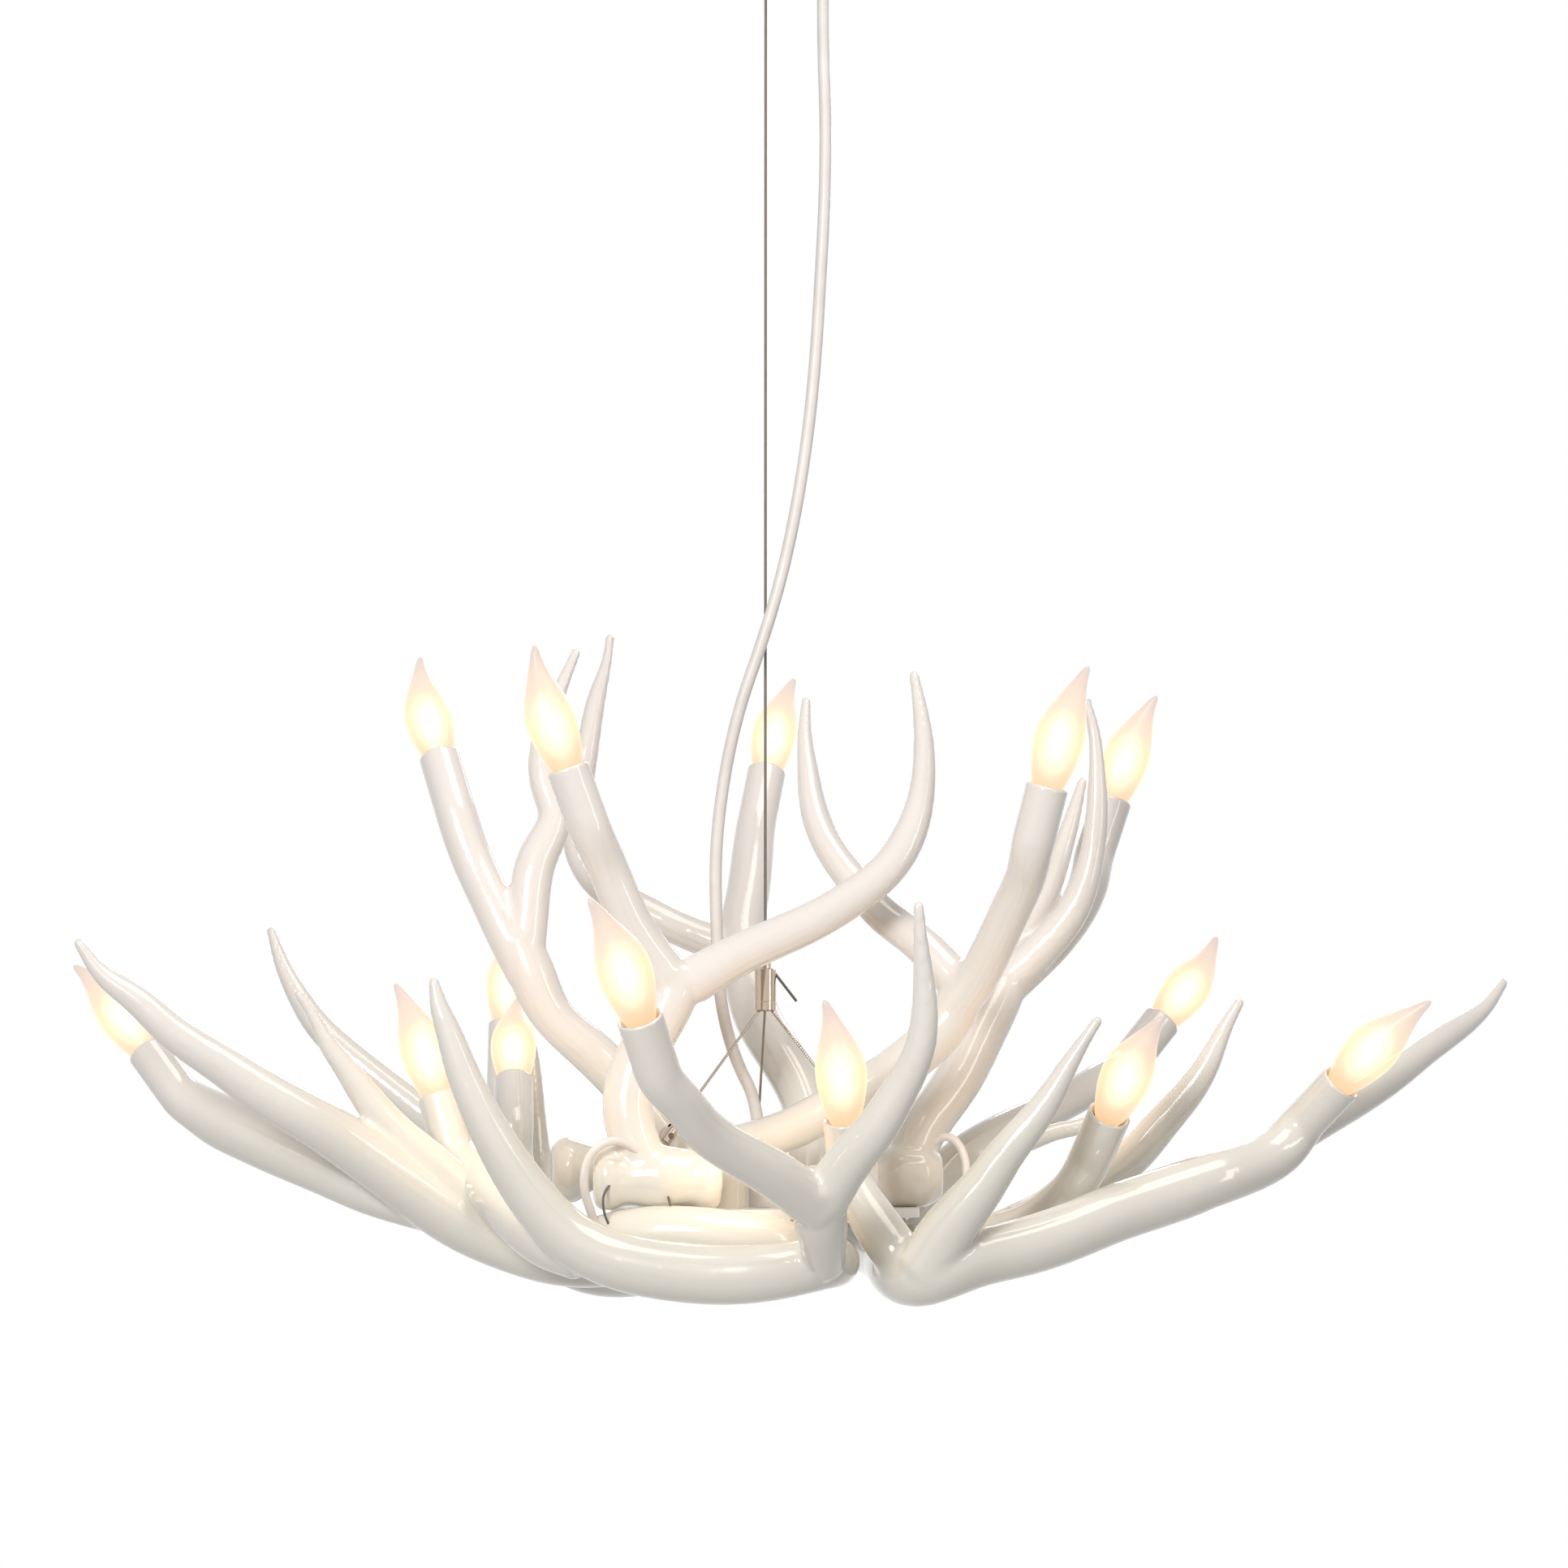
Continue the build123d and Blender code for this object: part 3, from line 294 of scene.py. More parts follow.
LOWER_BACK_RIGHT = {
    "sockets": {
        "lower_back_right_outer": [
            (238, 176, 41, 26), (214, 155, 28, 25), (181, 129, 12, 25), (147, 103, -4, 26),
            (120, 83, -24, 28), (100, 66, -46, 30), (76, 50, -68, 31)],
        "lower_back_right_inner": [
            (196, -94, -28, 26), (184, -78, -43, 28), (168, -56, -56, 30), (146, -26, -66, 32)],
    },
    "limbs": [
        [(302, -60, 85, 6), (292, -58, 67, 10), (283, -57, 48, 15), (271, -55, 29, 19),
         (253, -52, 8, 22), (235, -50, -12, 24), (209, -48, -31, 26), (181, -45, -48, 29),
         (146, -28, -66, 31)],
        [(233, 120, 19, 6), (219, 115, 9, 10), (196, 108, 3, 12), (178, 103, -3, 14),
         (158, 98, -8, 17), (134, 90, -16, 21)],
        [(168, -52, -55, 28), (150, -32, -64, 32), (128, -4, -71, 33), (104, 22, -74, 34),
         (80, 38, -74, 33), (52, 42, -72, 32)],
    ],
}
LOWER_LEFT = {
    "sockets": {
        "lower_left": [
            (-366, -15, 18, 31), (-351, -21, 10, 35), (-334, -28, 3, 37), (-312, -36, -7, 36),
            (-281, -46, -21, 33), (-250, -57, -35, 30), (-212, -64, -46, 30)],
    },
    "limbs": [
        [(-427, -125, 120, 6), (-413, -122, 101, 12), (-393, -119, 86, 18), (-369, -116, 65, 22),
         (-341, -112, 46, 25), (-311, -107, 26, 29), (-282, -100, 9, 31), (-252, -88, -11, 34),
         (-223, -75, -32, 37), (-193, -65, -52, 39), (-162, -63, -67, 37), (-130, -70, -77, 34),
         (-102, -76, -78, 33), (-72, -74, -73, 33), (-48, -64, -70, 33), (-34, -52, -70, 32)],
        [(-293, -95, 89, 6), (-285, -93, 77, 7), (-277, -90, 61, 11), (-265, -87, 44, 15),
         (-250, -83, 23, 20), (-233, -78, 3, 23), (-212, -73, -16, 26), (-188, -66, -40, 30)],
        [(-126, -72, -72, 26), (-96, -88, -64, 33), (-62, -100, -60, 34), (-24, -104, -62, 33),
         (8, -98, -66, 31), (28, -84, -70, 28)],
    ],
}
LOWER_BACK_LEFT = {
    "sockets": {
        "lower_back_left_outer": [
            (-184, 270, 30, 29), (-176, 245, 0, 30), (-165, 212, -36, 31), (-150, 172, -70, 33)],
        "lower_back_left_inner": [
            (-174, 164, -10, 28), (-165, 152, -37, 29), (-148, 145, -66, 31),
            (-122, 140, -86, 32)],
    },
    "limbs": [
        [(-352, 250, 146, 6), (-344, 247, 124, 11), (-332, 243, 101, 16), (-316, 239, 78, 20),
         (-295, 235, 58, 22), (-269, 231, 37, 24), (-243, 226, 17, 26), (-216, 220, -3, 29),
         (-190, 206, -24, 31), (-165, 180, -56, 33), (-136, 152, -84, 34), (-101, 126, -92, 34),
         (-68, 100, -86, 34), (-44, 76, -77, 33), (-30, 54, -71, 32)],
        [(-173, 250, 90, 6), (-166, 242, 63, 8), (-163, 233, 34, 12), (-160, 224, 6, 13),
         (-157, 212, -18, 16), (-152, 190, -50, 22)],
    ],
}
ANTLERS = {
    "antler_upper_left": UPPER_LEFT,
    "antler_upper_front": UPPER_FRONT,
    "antler_upper_back": UPPER_BACK,
    "antler_upper_right": UPPER_RIGHT,
    "antler_upper_far_right": UPPER_FAR_RIGHT,
    "antler_lower_front": LOWER_FRONT,
    "antler_lower_right": LOWER_RIGHT,
    "antler_lower_back_right": LOWER_BACK_RIGHT,
    "antler_lower_left": LOWER_LEFT,
    "antler_lower_back_left": LOWER_BACK_LEFT,
}


def at_cluster(point):
    """A point given from the cluster level, in the row frame."""
    return Vector(point) - Vector((0, 0, CLUSTER_DROP))


def centre_of(points):
    """The mean of some points."""
    return sum(points, Vector()) / len(points)


def add_object(name, data):
    """A new object in the scene."""
    obj = bpy.data.objects.new(name, data)
    bpy.context.scene.collection.objects.link(obj)
    return obj


# ---------------------------------------------------------------- camera
def place_camera():
    """The photograph's view: level with the cluster and tilted up a little."""
    data = bpy.data.cameras.new("view")
    data.lens = CAMERA_LENS
    data.clip_end = 50
    camera = add_object("view", data)
    camera.location = (0, -CAMERA_DISTANCE, -CLUSTER_DROP)
    camera.rotation_euler = (math.radians(90 + CAMERA_TILT), 0, math.radians(CAMERA_TURN))
    bpy.context.scene.camera = camera


# ---------------------------------------------------------------- materials
def principled(name, colour, roughness, metallic=0.0):
    """A new material with one plain shader, and that shader."""
    material = bpy.data.materials.new(name)
    material.use_nodes = True
    shader = material.node_tree.nodes["Principled BSDF"]
    shader.inputs["Base Color"].default_value = (*colour, 1)
    shader.inputs["Roughness"].default_value = roughness
    shader.inputs["Metallic"].default_value = metallic
    return material, shader


def noise(material, scale, detail=3.0):
    """A noise texture fixed to the object, as its grey output."""
    nodes = material.node_tree.nodes
    place = nodes.new("ShaderNodeTexCoord")
    texture = nodes.new("ShaderNodeTexNoise")
    texture.inputs["Scale"].default_value = scale
    texture.inputs["Detail"].default_value = detail
    material.node_tree.links.new(place.outputs["Object"], texture.inputs["Vector"])
    return texture.outputs["Fac"]


def tint(material, shader, grey, low, high, edges=(0.35, 0.65)):
    """Colour a shader between two colours by a grey value."""
    ramp = material.node_tree.nodes.new("ShaderNodeValToRGB")
    for element, place, colour in zip(ramp.color_ramp.elements, edges, (low, high)):
        element.position = place
        element.color = (*colour, 1)
    material.node_tree.links.new(grey, ramp.inputs["Fac"])
    material.node_tree.links.new(ramp.outputs["Color"], shader.inputs["Base Color"])


def roughen(material, shader, heights):
    """Bump a shader with a chain of (grey value, strength, height) layers."""
    below = None
    for grey, strength, height in heights:
        bump = material.node_tree.nodes.new("ShaderNodeBump")
        bump.inputs["Strength"].default_value = strength
        bump.inputs["Distance"].default_value = height
        material.node_tree.links.new(grey, bump.inputs["Height"])
        if below:
            material.node_tree.links.new(below, bump.inputs["Normal"])
        below = bump.outputs["Normal"]
    material.node_tree.links.new(below, shader.inputs["Normal"])


# ends of the glaze colour: the glaze's own uneven tone, plus painted shade low down and painted bulb light high up
GLAZE_LOW_TONE_AND_SHADE = (0.80, 0.775, 0.70)
GLAZE_HIGH_TONE_AND_LIGHT = (0.90, 0.845, 0.805)
PAINTED_LIGHT_LEVELS = (-0.02, 0.16)  # heights between which the colour changes, from the cluster level


def glaze_material():
    """Thick white glaze over a cast body: uneven in tone, with painted bulb light making it lighter and rosier
    high up and painted shade making it darker and creamier low down.
    """
    material, shader = principled("white glaze", (0.84, 0.82, 0.78), 0.16)
    shader.inputs["Coat Weight"].default_value = 0.8
    shader.inputs["Coat Roughness"].default_value = 0.06
    nodes = material.node_tree.nodes
    links = material.node_tree.links
    place = nodes.new("ShaderNodeTexCoord")
    split = nodes.new("ShaderNodeSeparateXYZ")
    # painted light and shade: the colour climbs with height from the shaded low end to the bulb-lit high end
    painted_light_climb = nodes.new("ShaderNodeMapRange")
    painted_light_climb.inputs["From Min"].default_value = PAINTED_LIGHT_LEVELS[0] - CLUSTER_DROP
    painted_light_climb.inputs["From Max"].default_value = PAINTED_LIGHT_LEVELS[1] - CLUSTER_DROP
    tone_and_painted_light = nodes.new("ShaderNodeMath")
    tone_and_painted_light.operation = "MULTIPLY_ADD"
    tone_and_painted_light.inputs[1].default_value = 0.6
    links.new(place.outputs["Object"], split.inputs["Vector"])
    links.new(split.outputs["Z"], painted_light_climb.inputs["Value"])
    links.new(noise(material, 11), tone_and_painted_light.inputs[0])
    links.new(painted_light_climb.outputs["Result"], tone_and_painted_light.inputs[2])
    tint(material, shader, tone_and_painted_light.outputs["Value"], GLAZE_LOW_TONE_AND_SHADE, GLAZE_HIGH_TONE_AND_LIGHT, (0.2, 1.4))
    swell = noise(material, 24, 1)
    peel = noise(material, 260, 2)
    roughen(material, shader, [(swell, 0.35, 0.0012), (peel, 0.1, 0.0003)])
    return material


# colours along a lit bulb, by the share of its height
BULB_BANDS = [
    (0.22, (0.79, 0.59, 0.38)), (0.34, (0.79, 0.69, 0.40)), (0.50, (0.78, 0.69, 0.42)),
    (0.64, (0.75, 0.60, 0.45)), (0.80, (0.68, 0.54, 0.46))]


def frosted_material():
    """Frosted envelope lit from inside: brightest low down, fading to the tip."""
    material, shader = principled("frosted glass", (0.28, 0.23, 0.18), 0.32)
    nodes = material.node_tree.nodes
    links = material.node_tree.links
    shader.inputs["Alpha"].default_value = 0.75
    place = nodes.new("ShaderNodeTexCoord")
    split = nodes.new("ShaderNodeSeparateXYZ")
    ramp = nodes.new("ShaderNodeValToRGB")
    stretch = nodes.new("ShaderNodeMapRange")
    stretch.inputs["From Min"].default_value = FLAME[0][0]
    stretch.inputs["From Max"].default_value = FLAME[-1][0]
    ramp.color_ramp.elements[0].position = 0.08
    ramp.color_ramp.elements[0].color = (0.80, 0.52, 0.30, 1)
    ramp.color_ramp.elements[1].position = 1.0
    ramp.color_ramp.elements[1].color = (0.52, 0.45, 0.44, 1)
    for share, colour in BULB_BANDS:
        band = ramp.color_ramp.elements.new(share)
        band.color = (*colour, 1)
    links.new(place.outputs["Object"], split.inputs["Vector"])
    links.new(split.outputs["Z"], stretch.inputs["Value"])
    links.new(stretch.outputs["Result"], ramp.inputs["Fac"])
    links.new(ramp.outputs["Color"], shader.inputs["Emission Color"])
    shader.inputs["Emission Strength"].default_value = 1.0
    roughen(material, shader, [(noise(material, 900, 2), 0.2, 0.0002)])
    return material


def glow_material():
    """The light inside a bulb: a glow with no surface, brightest in the middle."""
    material = bpy.data.materials.new("bulb glow")
    material.use_nodes = True
    nodes = material.node_tree.nodes
    nodes.remove(nodes["Principled BSDF"])
    emission = nodes.new("ShaderNodeEmission")
    emission.inputs["Color"].default_value = (1.0, 0.92, 0.78, 1)
    place = nodes.new("ShaderNodeTexCoord")
    stretch = nodes.new("ShaderNodeMapping")
    stretch.vector_type = "TEXTURE"
    stretch.inputs["Location"].default_value = (0, 0, GLOW_HEIGHT)
    stretch.inputs["Scale"].default_value = (GLOW_RADIUS, GLOW_RADIUS, GLOW_HALF_LENGTH)
    fade = nodes.new("ShaderNodeTexGradient")
    fade.gradient_type = "SPHERICAL"
    boost = nodes.new("ShaderNodeMath")
    boost.operation = "MULTIPLY"
    boost.inputs[1].default_value = GLOW_STRENGTH
    output = nodes["Material Output"]
    for start, end in (
            (place.outputs["Object"], stretch.inputs["Vector"]),
            (stretch.outputs["Vector"], fade.inputs["Vector"]),
            (fade.outputs["Fac"], boost.inputs[0]),
            (boost.outputs["Value"], emission.inputs["Strength"]),
            (emission.outputs["Emission"], output.inputs["Volume"])):
        material.node_tree.links.new(start, end)
    return material


GLOW = glow_material()


def metal_material(name, colour, roughness, grain):
    """Plain or plated metal with a fine brushed grain."""
    material, shader = principled(name, colour, roughness, metallic=1.0)
    roughen(material, shader, [(noise(material, grain), 0.15, 0.0001)])
    return material


def jacket_material(name, colour, roughness):
    """A smooth plastic jacket or moulding with a faint texture."""
    material, shader = principled(name, colour, roughness)
    dark = [0.93 * value for value in colour]
    tint(material, shader, noise(material, 60), dark, colour)
    roughen(material, shader, [(noise(material, 700), 0.15, 0.0002)])
    return material


MATERIALS = {
    "glaze": glaze_material(),
    "frosted_glass": frosted_material(),
    "lamp_brass": metal_material("lamp brass", (0.78, 0.60, 0.30), 0.3, 900),
    "dark_plastic": jacket_material("dark plastic", (0.10, 0.085, 0.07), 0.5),
    "hub_enamel": jacket_material("hub enamel", (0.80, 0.79, 0.77), 0.3),
    "steel": metal_material("bright steel", (0.19, 0.17, 0.15), 0.34, 1500),
    "nickel": metal_material("nickel plate", (0.56, 0.46, 0.37), 0.08, 400),
    "cord_white": jacket_material("white jacket", (0.87, 0.835, 0.81), 0.4),
    "dark_wire": jacket_material("dark wire", (0.14, 0.125, 0.11), 0.5),
    "canopy_enamel": jacket_material("canopy enamel", (0.84, 0.84, 0.82), 0.3),
}


def dress(obj, slot_name, body):
    """Give a piece its material and slot, and let it ride on its body."""
    obj.data.materials.clear()
    obj.data.materials.append(MATERIALS[slot_name])
    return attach(obj, body)


# ---------------------------------------------------------------- mesh helpers
def shade_smooth(data):
    """Shade every face of a mesh smooth."""
    data.polygons.foreach_set("use_smooth", [True] * len(data.polygons))


def mesh_object(name, points, faces):
    """A new smooth-shaded mesh object in the scene."""
    data = bpy.data.meshes.new(name)
    data.from_pydata([tuple(point) for point in points], [], faces)
    shade_smooth(data)
    data.update()
    return add_object(name, data)


def ring_faces(rings, sides):
    """Quads between rings of points, and a face over each end."""
    faces = [
        (row * sides + side, row * sides + (side + 1) % sides,
         (row + 1) * sides + (side + 1) % sides, (row + 1) * sides + side)
        for row in range(rings - 1) for side in range(sides)]
    faces.append(tuple(reversed(range(sides))))
    faces.append(tuple(range((rings - 1) * sides, rings * sides)))
    return faces


def turned_object(name, profile, sides, matrix):
    """A closed turned shape from (height, radius, bend) along the matrix's z axis."""
    points = []
    for height, radius, bend in profile:
        for side in range(sides):
            angle = 2 * math.pi * side / sides
            local = Vector((bend + radius * math.cos(angle), radius * math.sin(angle), height))
            points.append(matrix @ local)
    return mesh_object(name, points, ring_faces(len(profile), sides))


def shown_mesh(obj):
    """A new mesh of what an object shows, with its modifiers and bevel in it."""
    graph = bpy.context.evaluated_depsgraph_get()
    return bpy.data.meshes.new_from_object(obj.evaluated_get(graph))


def apply_modifiers(obj):
    """Turn an object's modifiers into its mesh."""
    data = shown_mesh(obj)
    obj.modifiers.clear()
    obj.data = data


def cubic(start, end, slope, next_slope, share):
    """A value on the cubic from start to end, with both slopes given for the whole span."""
    return (
        start * (1 + 2 * share) * (1 - share) ** 2 + slope * share * (1 - share) ** 2
        + end * share ** 2 * (3 - 2 * share) - next_slope * share ** 2 * (1 - share))


def thickness_share(data, sections):
    """How fully each point is smoothed: less where the nearest limb is thin."""
    tree = KDTree(len(sections))
    for number, section in enumerate(sections):
        tree.insert(section[:3], number)
    tree.balance()
    nearest = [tree.find(vertex.co)[1] for vertex in data.vertices]
    widths = np.array(sections)[nearest, 3]
    return np.clip((widths / FULL_WIDTH) ** 2, LEAST_SMOOTHING, 1.0)


def smooth_out(data, sections):
    """Even out facets and creases while keeping the volume."""
    shares = thickness_share(data, sections)
    points = np.empty(len(data.vertices) * 3)
    data.vertices.foreach_get("co", points)
    points = points.reshape(-1, 3)
    ends = np.empty(len(data.edges) * 2, dtype=int)
    data.edges.foreach_get("vertices", ends)
    first, second = ends.reshape(-1, 2).T
    count = np.bincount(ends, minlength=len(points))
    for step in SMOOTHING_STEPS * SMOOTHING_ROUNDS:
        for axis in range(3):
            line = points[:, axis]
            total = np.bincount(first, line[second], len(line))
            total += np.bincount(second, line[first], len(line))
            points[:, axis] = line + step * shares * (total / count - line)
    data.vertices.foreach_set("co", points.ravel())
    data.update()


# ---------------------------------------------------------------- bulbs
def socket_matrix(bulb_name):
    """A bulb's place from the frame: origin at the mouth, z along the bulb, x to its side."""
    joint = next(j for j in frame["joints"] if j["name"] == f"bulb_out_{bulb_name}")
    outward = Vector(joint["axis"]).normalized()
    node = frame["nodes"][f"bulb_glass_{bulb_name}"]
    heights = [outward.dot(vertex.co) for vertex in node.data.vertices]
    foot = [
        vertex.co for vertex, height in zip(node.data.vertices, heights)
        if height < min(heights) + END_BAND]
    tip = [
        vertex.co for vertex, height in zip(node.data.vertices, heights)
        if height > max(heights) - END_BAND]
    heel = centre_of(foot)
    peak = centre_of(tip)
    side = (peak - heel) - outward * outward.dot(peak - heel)
    side.normalize()
    back = outward.cross(side)
    turn = Matrix((side, back, outward)).transposed().to_4x4()
    return Matrix.Translation(heel + outward * GLASS_HEEL) @ turn


def flame_profile():
    """The bulb's outline with enough rings to look smooth."""
    heights, radii, bends = np.array(FLAME).T
    lengths = np.linspace(0, 1, len(FLAME))
    rows = []
    for place in np.linspace(0, 1, BULB_RINGS):
        height = smooth_value(lengths, heights, place)
        radius = max(smooth_value(lengths, radii, place), LEAST_FLAME_RADIUS)
        rows.append((height, radius, smooth_value(lengths, bends, place)))
    return rows


def glow_profile():
    """The outline of the bright haze in the middle of a bulb."""
    rows = []
    for angle in np.linspace(-GLOW_SWEEP, GLOW_SWEEP, GLOW_RINGS):
        height = GLOW_HEIGHT + GLOW_HALF_LENGTH * math.sin(angle)
        rows.append((height, GLOW_RADIUS * math.cos(angle), 0.0))
    return rows


def smooth_value(places, values, place):
    """A value between knots by a smooth cubic."""
    knot = min(int(np.searchsorted(places, place, side="right")) - 1, len(places) - 2)
    width = places[knot + 1] - places[knot]
    share = (place - places[knot]) / width
    before = values[max(knot - 1, 0)]
    start = values[knot]
    end = values[knot + 1]
    after = values[min(knot + 2, len(values) - 1)]
    return cubic(start, end, (end - before) / 2, (after - start) / 2, share)


def make_bulb(bulb_name, matrix):
    """Frosted envelope and the glow inside it."""
    body = f"bulb_{bulb_name}"
    plain = Matrix.Identity(4)
    shell = turned_object(f"flame_{bulb_name}", flame_profile(), BULB_SEGMENTS, plain)
    shell.matrix_world = matrix
    dress(shell, "frosted_glass", body)
    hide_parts(f"bulb_glass_{bulb_name}")
    glow = turned_object(f"glow_{bulb_name}", glow_profile(), BULB_SEGMENTS, plain)
    glow.matrix_world = matrix
    glow.data.materials.append(GLOW)
    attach(glow, body)


# ---------------------------------------------------------------- antlers
def mouth_cutter(matrix):
    """The tool that opens a socket and rounds its lip."""
    profile = [
        (-BORE_DEPTH, AXIS_RADIUS, 0), (-BORE_DEPTH, BORE_RADIUS, 0), (-LIP, BORE_RADIUS, 0),
        (-0.35 * LIP, BORE_RADIUS + 0.3 * LIP, 0), (0, BORE_RADIUS + LIP, 0),
        (-0.1 * LIP, MOUTH_RADIUS - 0.8 * LIP, 0), (-0.5 * LIP, MOUTH_RADIUS - 0.3 * LIP, 0),
        (-1.4 * LIP, MOUTH_RADIUS + 0.3 * LIP, 0), (-1.4 * LIP, CUTTER_RADIUS, 0),
        (CUTTER_HEIGHT, CUTTER_RADIUS, 0), (CUTTER_HEIGHT, AXIS_RADIUS, 0)]
    return turned_object("cutter", profile, CUTTER_SIDES, matrix)


def slab_cutter(bottom, top, radius):
    """A round slab between two levels, given from the cluster level."""
    profile = [
        (bottom, AXIS_RADIUS, 0), (bottom, radius, 0), (top, radius, 0), (top, AXIS_RADIUS, 0)]
    return turned_object("slab", profile, SLAB_SIDES, Matrix.Translation(at_cluster((0, 0, 0))))


def spline_slopes(places, values, first_slope, last_slope):
    """Slopes that carry a smooth curve through values, with its end slopes given."""
    steps = np.diff(places)
    rises = np.diff(values, axis=0) / steps[:, None]
    system = np.eye(len(places))
    wanted = np.empty_like(values)
    wanted[0] = first_slope
    wanted[-1] = last_slope
    for knot in range(1, len(places) - 1):
        before, after = steps[knot - 1:knot + 1]
        system[knot, knot - 1:knot + 2] = after, 2 * (before + after), before
        wanted[knot] = 3 * (before * rises[knot] + after * rises[knot - 1])
    return np.linalg.solve(system, wanted)


def end_sections(first, way, mouth):
    """What goes on at a limb's free end: a straight stub at a socket, or else a round crown."""
    if mouth:
        return [(*(first[:3] - way * (MOUTH_LENGTH + MOUTH_SPARE)), 2 * MOUTH_RADIUS)]
    return [
        (*(first[:3] - way * TIP_CROWN * math.sin(angle)), first[3] * math.cos(angle))
        for angle in CROWN_ANGLES]


def limb_sections(stations, mouth):
    """Centres and diameters of close sections along a limb, free end first."""
    rows = np.array(stations) * MM
    rows[:, 2] -= CLUSTER_DROP
    if mouth:
        inward = -mouth.col[2].xyz
        neck = mouth.translation + inward * MOUTH_LENGTH
        rows = np.vstack([(*neck, 2 * MOUTH_RADIUS), rows])
    lengths = np.linalg.norm(np.diff(rows[:, :3], axis=0), axis=1)
    places = np.concatenate([[0], np.cumsum(lengths)])
    first_slope = (rows[1] - rows[0]) / lengths[0]
    if mouth:
        first_slope[:3] = inward
    last_slope = (rows[-1] - rows[-2]) / lengths[-1]
    slopes = spline_slopes(places, rows, first_slope, last_slope)
    fine = np.linspace(0, places[-1], math.ceil(places[-1] / LIMB_PITCH) + 1)
    knots = np.clip(np.searchsorted(places, fine, side="right") - 1, 0, len(lengths) - 1)
    span = lengths[knots, None]
    share = (fine[:, None] - places[knots, None]) / span
    sections = cubic(
        rows[knots], rows[knots + 1], slopes[knots] * span, slopes[knots + 1] * span, share)
    way = first_slope[:3] / np.linalg.norm(first_slope[:3])
    return np.vstack([end_sections(sections[0], way, mouth), sections])


def limb_skin(sections):
    """Points of a limb's round skin."""
    centres = [Vector(row[:3]) for row in sections]
    side = (centres[1] - centres[0]).orthogonal()
    points = []
    for number, centre in enumerate(centres):
        way = centres[min(number + 1, len(centres) - 1)] - centres[max(number - 1, 0)]
        way.normalize()
        side = (side - way * side.dot(way)).normalized()
        other = way.cross(side)
        radius = sections[number, 3] / 2
        for turn in np.linspace(0, 2 * math.pi, LIMB_SIDES, endpoint=False):
            points.append(centre + (side * math.cos(turn) + other * math.sin(turn)) * radius)
    return points


def cut_out(obj, cutters):
    """Cut other solids out of an object, and clear them away."""
    for cutter in cutters:
        step = obj.modifiers.new("cut", "BOOLEAN")
        step.object = cutter
        step.operation = "DIFFERENCE"
        step.solver = "MANIFOLD"
    apply_modifiers(obj)
    for cutter in cutters:
        bpy.data.objects.remove(cutter)


def make_antler(node_name, shape, sockets):
    """A smooth glazed skin in place of a cast antler, with its sockets cut open."""
    mouths = [sockets[bulb_name] for bulb_name in shape["sockets"]]
    routes = [(stations, None) for stations in shape["limbs"]]
    routes += list(zip(shape["sockets"].values(), mouths))
    limbs = [limb_sections(stations, mouth) for stations, mouth in routes]
    points = []
    faces = []
    for sections in limbs:
        faces += [
            tuple(index + len(points) for index in face)
            for face in ring_faces(len(sections), LIMB_SIDES)]
        points += limb_skin(sections)
    skin = mesh_object(node_name.replace("antler", "glazed"), points, faces)
    remesh = skin.modifiers.new("cast", "REMESH")
    remesh.mode = "VOXEL"
    remesh.voxel_size = VOXEL
    apply_modifiers(skin)
    smooth_out(skin.data, [section for limb in limbs for section in limb])
    cutters = [mouth_cutter(matrix) for matrix in mouths]
    if "upper" in node_name:
        cutters.append(slab_cutter(SLAB_BOTTOM, PLATE_TOP, SLAB_RADIUS))
    else:
        cutters.append(slab_cutter(PLATE_TOP - PLATE_THICKNESS, PLATE_RADIUS, PLATE_RADIUS))
    cut_out(skin, cutters)
    shade_smooth(skin.data)
    skin.data.set_sharp_from_angle(angle=math.radians(SHARP_ANGLE))
    dress(skin, "glaze", CLUSTER_BODY)
    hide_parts(node_name)


# ---------------------------------------------------------------- cords and cables
def cord_line(name, route, diameter):
    """A smooth round cord along a route given from the cluster level."""
    curve = bpy.data.curves.new(name, "CURVE")
    curve.dimensions = "3D"
    curve.bevel_depth = diameter / 2
    curve.bevel_resolution = 5
    curve.use_fill_caps = True
    curve.resolution_u = 8
    spline = curve.splines.new("NURBS")
    spline.points.add(len(route) - 1)
    for point, place in zip(spline.points, route):
        point.co = (*at_cluster(place), 1)
    spline.order_u = 3
    spline.use_endpoint_u = True
    return add_object(name, curve)


def centreline(obj):
    """The points that a cord's curve passes through."""
    bare = obj.copy()
    bare.data = obj.data.copy()
    bare.data.bevel_depth = 0
    bpy.context.scene.collection.objects.link(bare)
    points = [tuple(vertex.co) for vertex in shown_mesh(bare).vertices]
    bpy.data.objects.remove(bare)
    return points


def make_power_cord():
    """The supply cord, fixed at the ceiling."""
    line = cord_line("supply_cord_line", POWER_ROUTE, CORD_DIAMETER)
    path = centreline(line)
    cord = add_object("supply_cord", shown_mesh(line))
    bpy.data.objects.remove(line)
    shade_smooth(cord.data)
    cord.data.materials.clear()
    cord.data.materials.append(MATERIALS["cord_white"])
    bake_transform(cord)
    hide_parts("power_cord")


def make_fixed_cord(name, route, diameter, slot_name, node_name):
    """A short cord held at both ends by the cluster."""
    cord = cord_line(name, route, diameter)
    path = centreline(cord)
    dress(cord, slot_name, CLUSTER_BODY)
    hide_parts(node_name)


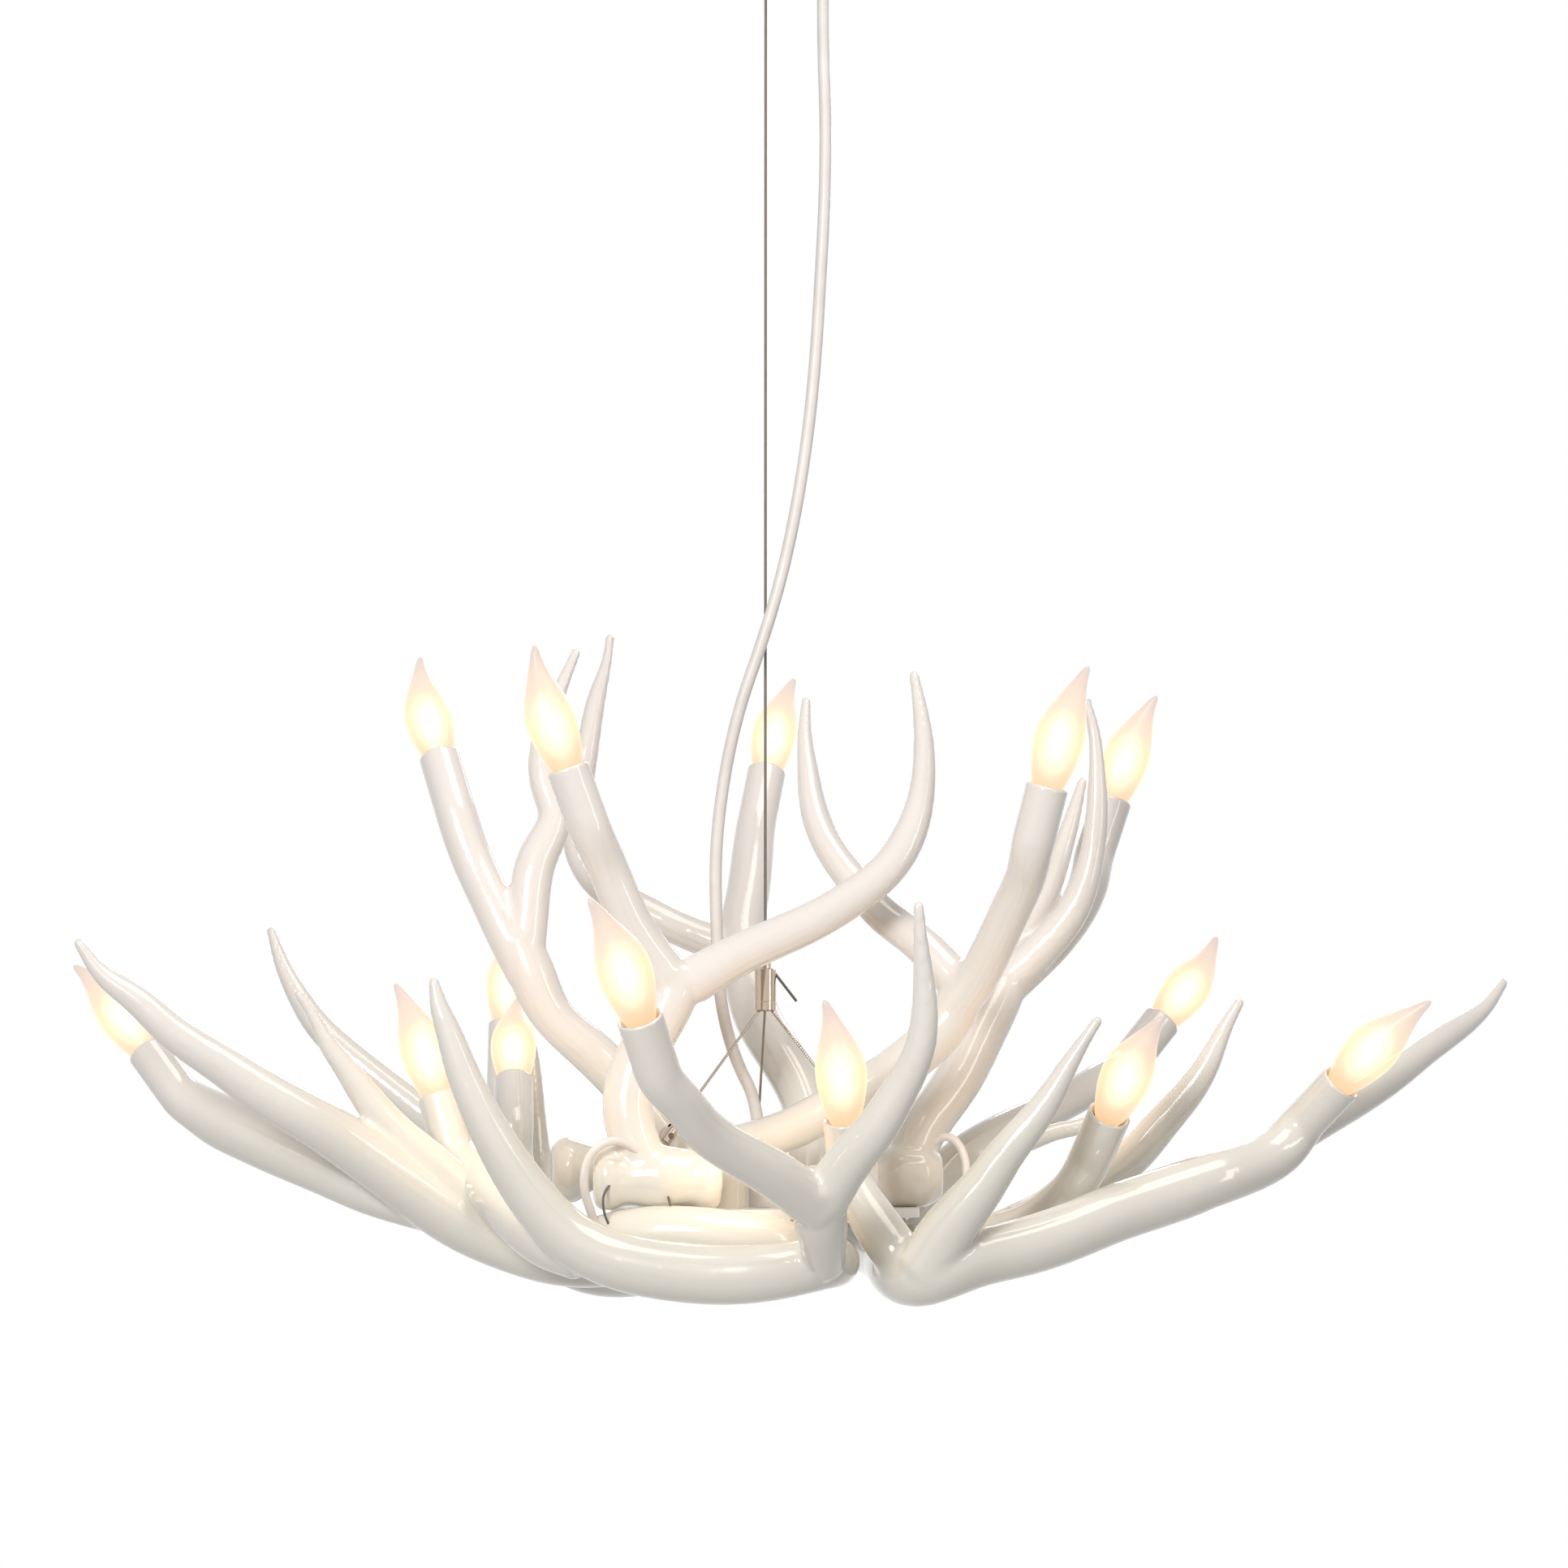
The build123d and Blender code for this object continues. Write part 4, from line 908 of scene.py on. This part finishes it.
def strand_cable(name, start, end, diameter):
    """A tight wire rope of twisted strands between two points."""
    way = Vector(end) - Vector(start)
    turn = way.to_track_quat("Z", "Y").to_matrix()
    turns = way.length / STRAND_PITCH
    rows = max(2, round(turns * STRAND_ROWS) + 1)
    strand_radius = diameter / 2 * STRAND_SHARE
    orbit = diameter / 2 - strand_radius
    points = []
    faces = []
    for strand in range(STRANDS):
        for row in range(rows):
            share = row / (rows - 1)
            angle = 2 * math.pi * (strand / STRANDS + turns * share)
            centre = Vector((math.cos(angle), math.sin(angle), 0)) * orbit
            for side in range(STRAND_SIDES):
                around = 2 * math.pi * side / STRAND_SIDES
                edge = Vector((math.cos(around), math.sin(around), 0)) * strand_radius
                points.append(Vector(start) + way * share + turn @ (centre + edge))
        first = strand * rows * STRAND_SIDES
        faces += [
            tuple(index + first for index in face) for face in ring_faces(rows, STRAND_SIDES)]
    return mesh_object(name, points, faces)


def make_cables():
    """The suspension cable and its spare tail."""
    top = (0, 0, CABLE_TOP)
    bottom = at_cluster((0, 0, CABLE_END))
    rope = strand_cable("suspension_cable", top, bottom, CABLE_DIAMETER)
    dress(rope, "steel", "ceiling_side")
    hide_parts("main_cable")
    start = at_cluster(TAIL_START)
    end = start + Vector(TAIL_WAY).normalized() * TAIL_LENGTH
    tail = strand_cable("cable_tail", start, end, CABLE_DIAMETER)
    dress(tail, "steel", "gripper")
    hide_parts("gripper_tail")


def make_leg_strands(node_name):
    """Strands over the bare cable of one bridle leg."""
    low, high = leg_ends(node_name)
    strands = strand_cable(f"{node_name}_strands", low, high, LEG_DIAMETER)
    dress(strands, "steel", CLUSTER_BODY)


def leg_ends(node_name):
    """Where a leg's bare cable leaves its terminal, and where it enters the collector."""
    points = [vertex.co.copy() for vertex in frame["nodes"][node_name].data.vertices]
    top = max(point.z for point in points)
    high = centre_of([point for point in points if point.z > top - LEG_TOP_BAND])
    middle = centre_of(points)
    pins = [vertex.co.copy() for vertex in frame["nodes"]["leg_pins"].data.vertices]
    pins.sort(key=lambda point: (point - middle).length)
    eye = centre_of(pins[:len(pins) // len(LEG_NAMES)])
    return eye + (high - eye).normalized() * TERMINAL_LENGTH, high


# ---------------------------------------------------------------- stage
def area_lamp(name, place, size, power, colour):
    """A soft lamp of a width and height that points at the cluster."""
    data = bpy.data.lights.new(name, "AREA")
    data.shape = "RECTANGLE"
    data.size, data.size_y = size
    data.energy = power
    data.color = colour
    lamp = add_object(name, data)
    lamp.location = place
    way = Vector(LAMP_TARGET) - Vector(place)
    lamp.rotation_euler = way.to_track_quat("-Z", "Y").to_euler()


def warm_lamp(name, place):
    """A small warm light between the antlers, itself unseen."""
    data = bpy.data.lights.new(name, "POINT")
    data.energy = WARM_POWER
    data.color = WARM_COLOUR
    data.shadow_soft_size = WARM_RADIUS
    lamp = add_object(name, data)
    lamp.location = at_cluster(place)
    lamp.visible_camera = False
    lamp.visible_glossy = False


def lighten(tree, strength, low, high):
    """Set a strength to high for camera, mirror and glass rays, and to low for the rest."""
    rays = tree.nodes.new("ShaderNodeLightPath")
    seen = rays.outputs["Is Camera Ray"]
    for kind in ("Is Glossy Ray", "Is Transmission Ray"):
        either = tree.nodes.new("ShaderNodeMath")
        either.operation = "MAXIMUM"
        tree.links.new(seen, either.inputs[0])
        tree.links.new(rays.outputs[kind], either.inputs[1])
        seen = either.outputs[0]
    level = tree.nodes.new("ShaderNodeMath")
    level.operation = "MULTIPLY_ADD"
    level.inputs[1].default_value = high - low
    level.inputs[2].default_value = low
    tree.links.new(seen, level.inputs[0])
    tree.links.new(level.outputs[0], strength)


def make_stage():
    """Floor and lamps."""
    half = FLOOR_SIZE / 2
    corners = [(-half, -half), (half, -half), (half, half), (-half, half)]
    floor = mesh_object("floor", [(x, y, -FLOOR_DROP) for x, y in corners], [(0, 1, 2, 3)])
    material, shader = principled("floor", (0.80, 0.80, 0.79), 0.9)
    tint(material, shader, noise(material, 3), (0.79, 0.79, 0.78), (0.81, 0.81, 0.80))
    shader.inputs["Emission Color"].default_value = (1, 1, 1, 1)
    lighten(material.node_tree, shader.inputs["Emission Strength"], 0, FLOOR_GLOW)
    material.cycles.emission_sampling = "NONE"  # it lights nothing, so it isn't tried as a lamp
    floor.data.materials.append(material)
    for lamp_values in AREA_LAMPS:
        area_lamp(*lamp_values)
    for number, place in enumerate(WARM_LAMPS):
        warm_lamp(f"warm_{number}", place)


def make_world():
    """Soft light from all round, and plain white to camera, reflections and glass."""
    world = bpy.data.worlds.new("studio")
    world.use_nodes = True
    bpy.context.scene.world = world
    background = world.node_tree.nodes["Background"]
    background.inputs["Color"].default_value = (1, 1, 1, 1)
    lighten(world.node_tree, background.inputs["Strength"], WORLD_FILL, 1)


# ---------------------------------------------------------------- the scene
place_camera()
make_power_cord()
make_cables()
for cord_values in FIXED_CORDS:
    make_fixed_cord(*cord_values)

bulb_names = [
    joint["name"].removeprefix("bulb_out_") for joint in frame["joints"]
    if joint["name"].startswith("bulb_out_")]
socket_places = {bulb_name: socket_matrix(bulb_name) for bulb_name in bulb_names}
for bulb_name, socket_place in socket_places.items():
    make_bulb(bulb_name, socket_place)

for antler_name, antler_shape in ANTLERS.items():
    make_antler(antler_name, antler_shape, socket_places)

for leg_name in LEG_NAMES:
    make_leg_strands(leg_name)

# the CAD nodes that nothing replaces get the material of their slot
for entry in frame["record"]["subparts"]:
    node = frame["nodes"][entry["node"]]
    node.data.materials.clear()
    node.data.materials.append(MATERIALS[entry["material_slot"]])

make_stage()
make_world()
bpy.context.scene.view_settings.view_transform = "Standard"
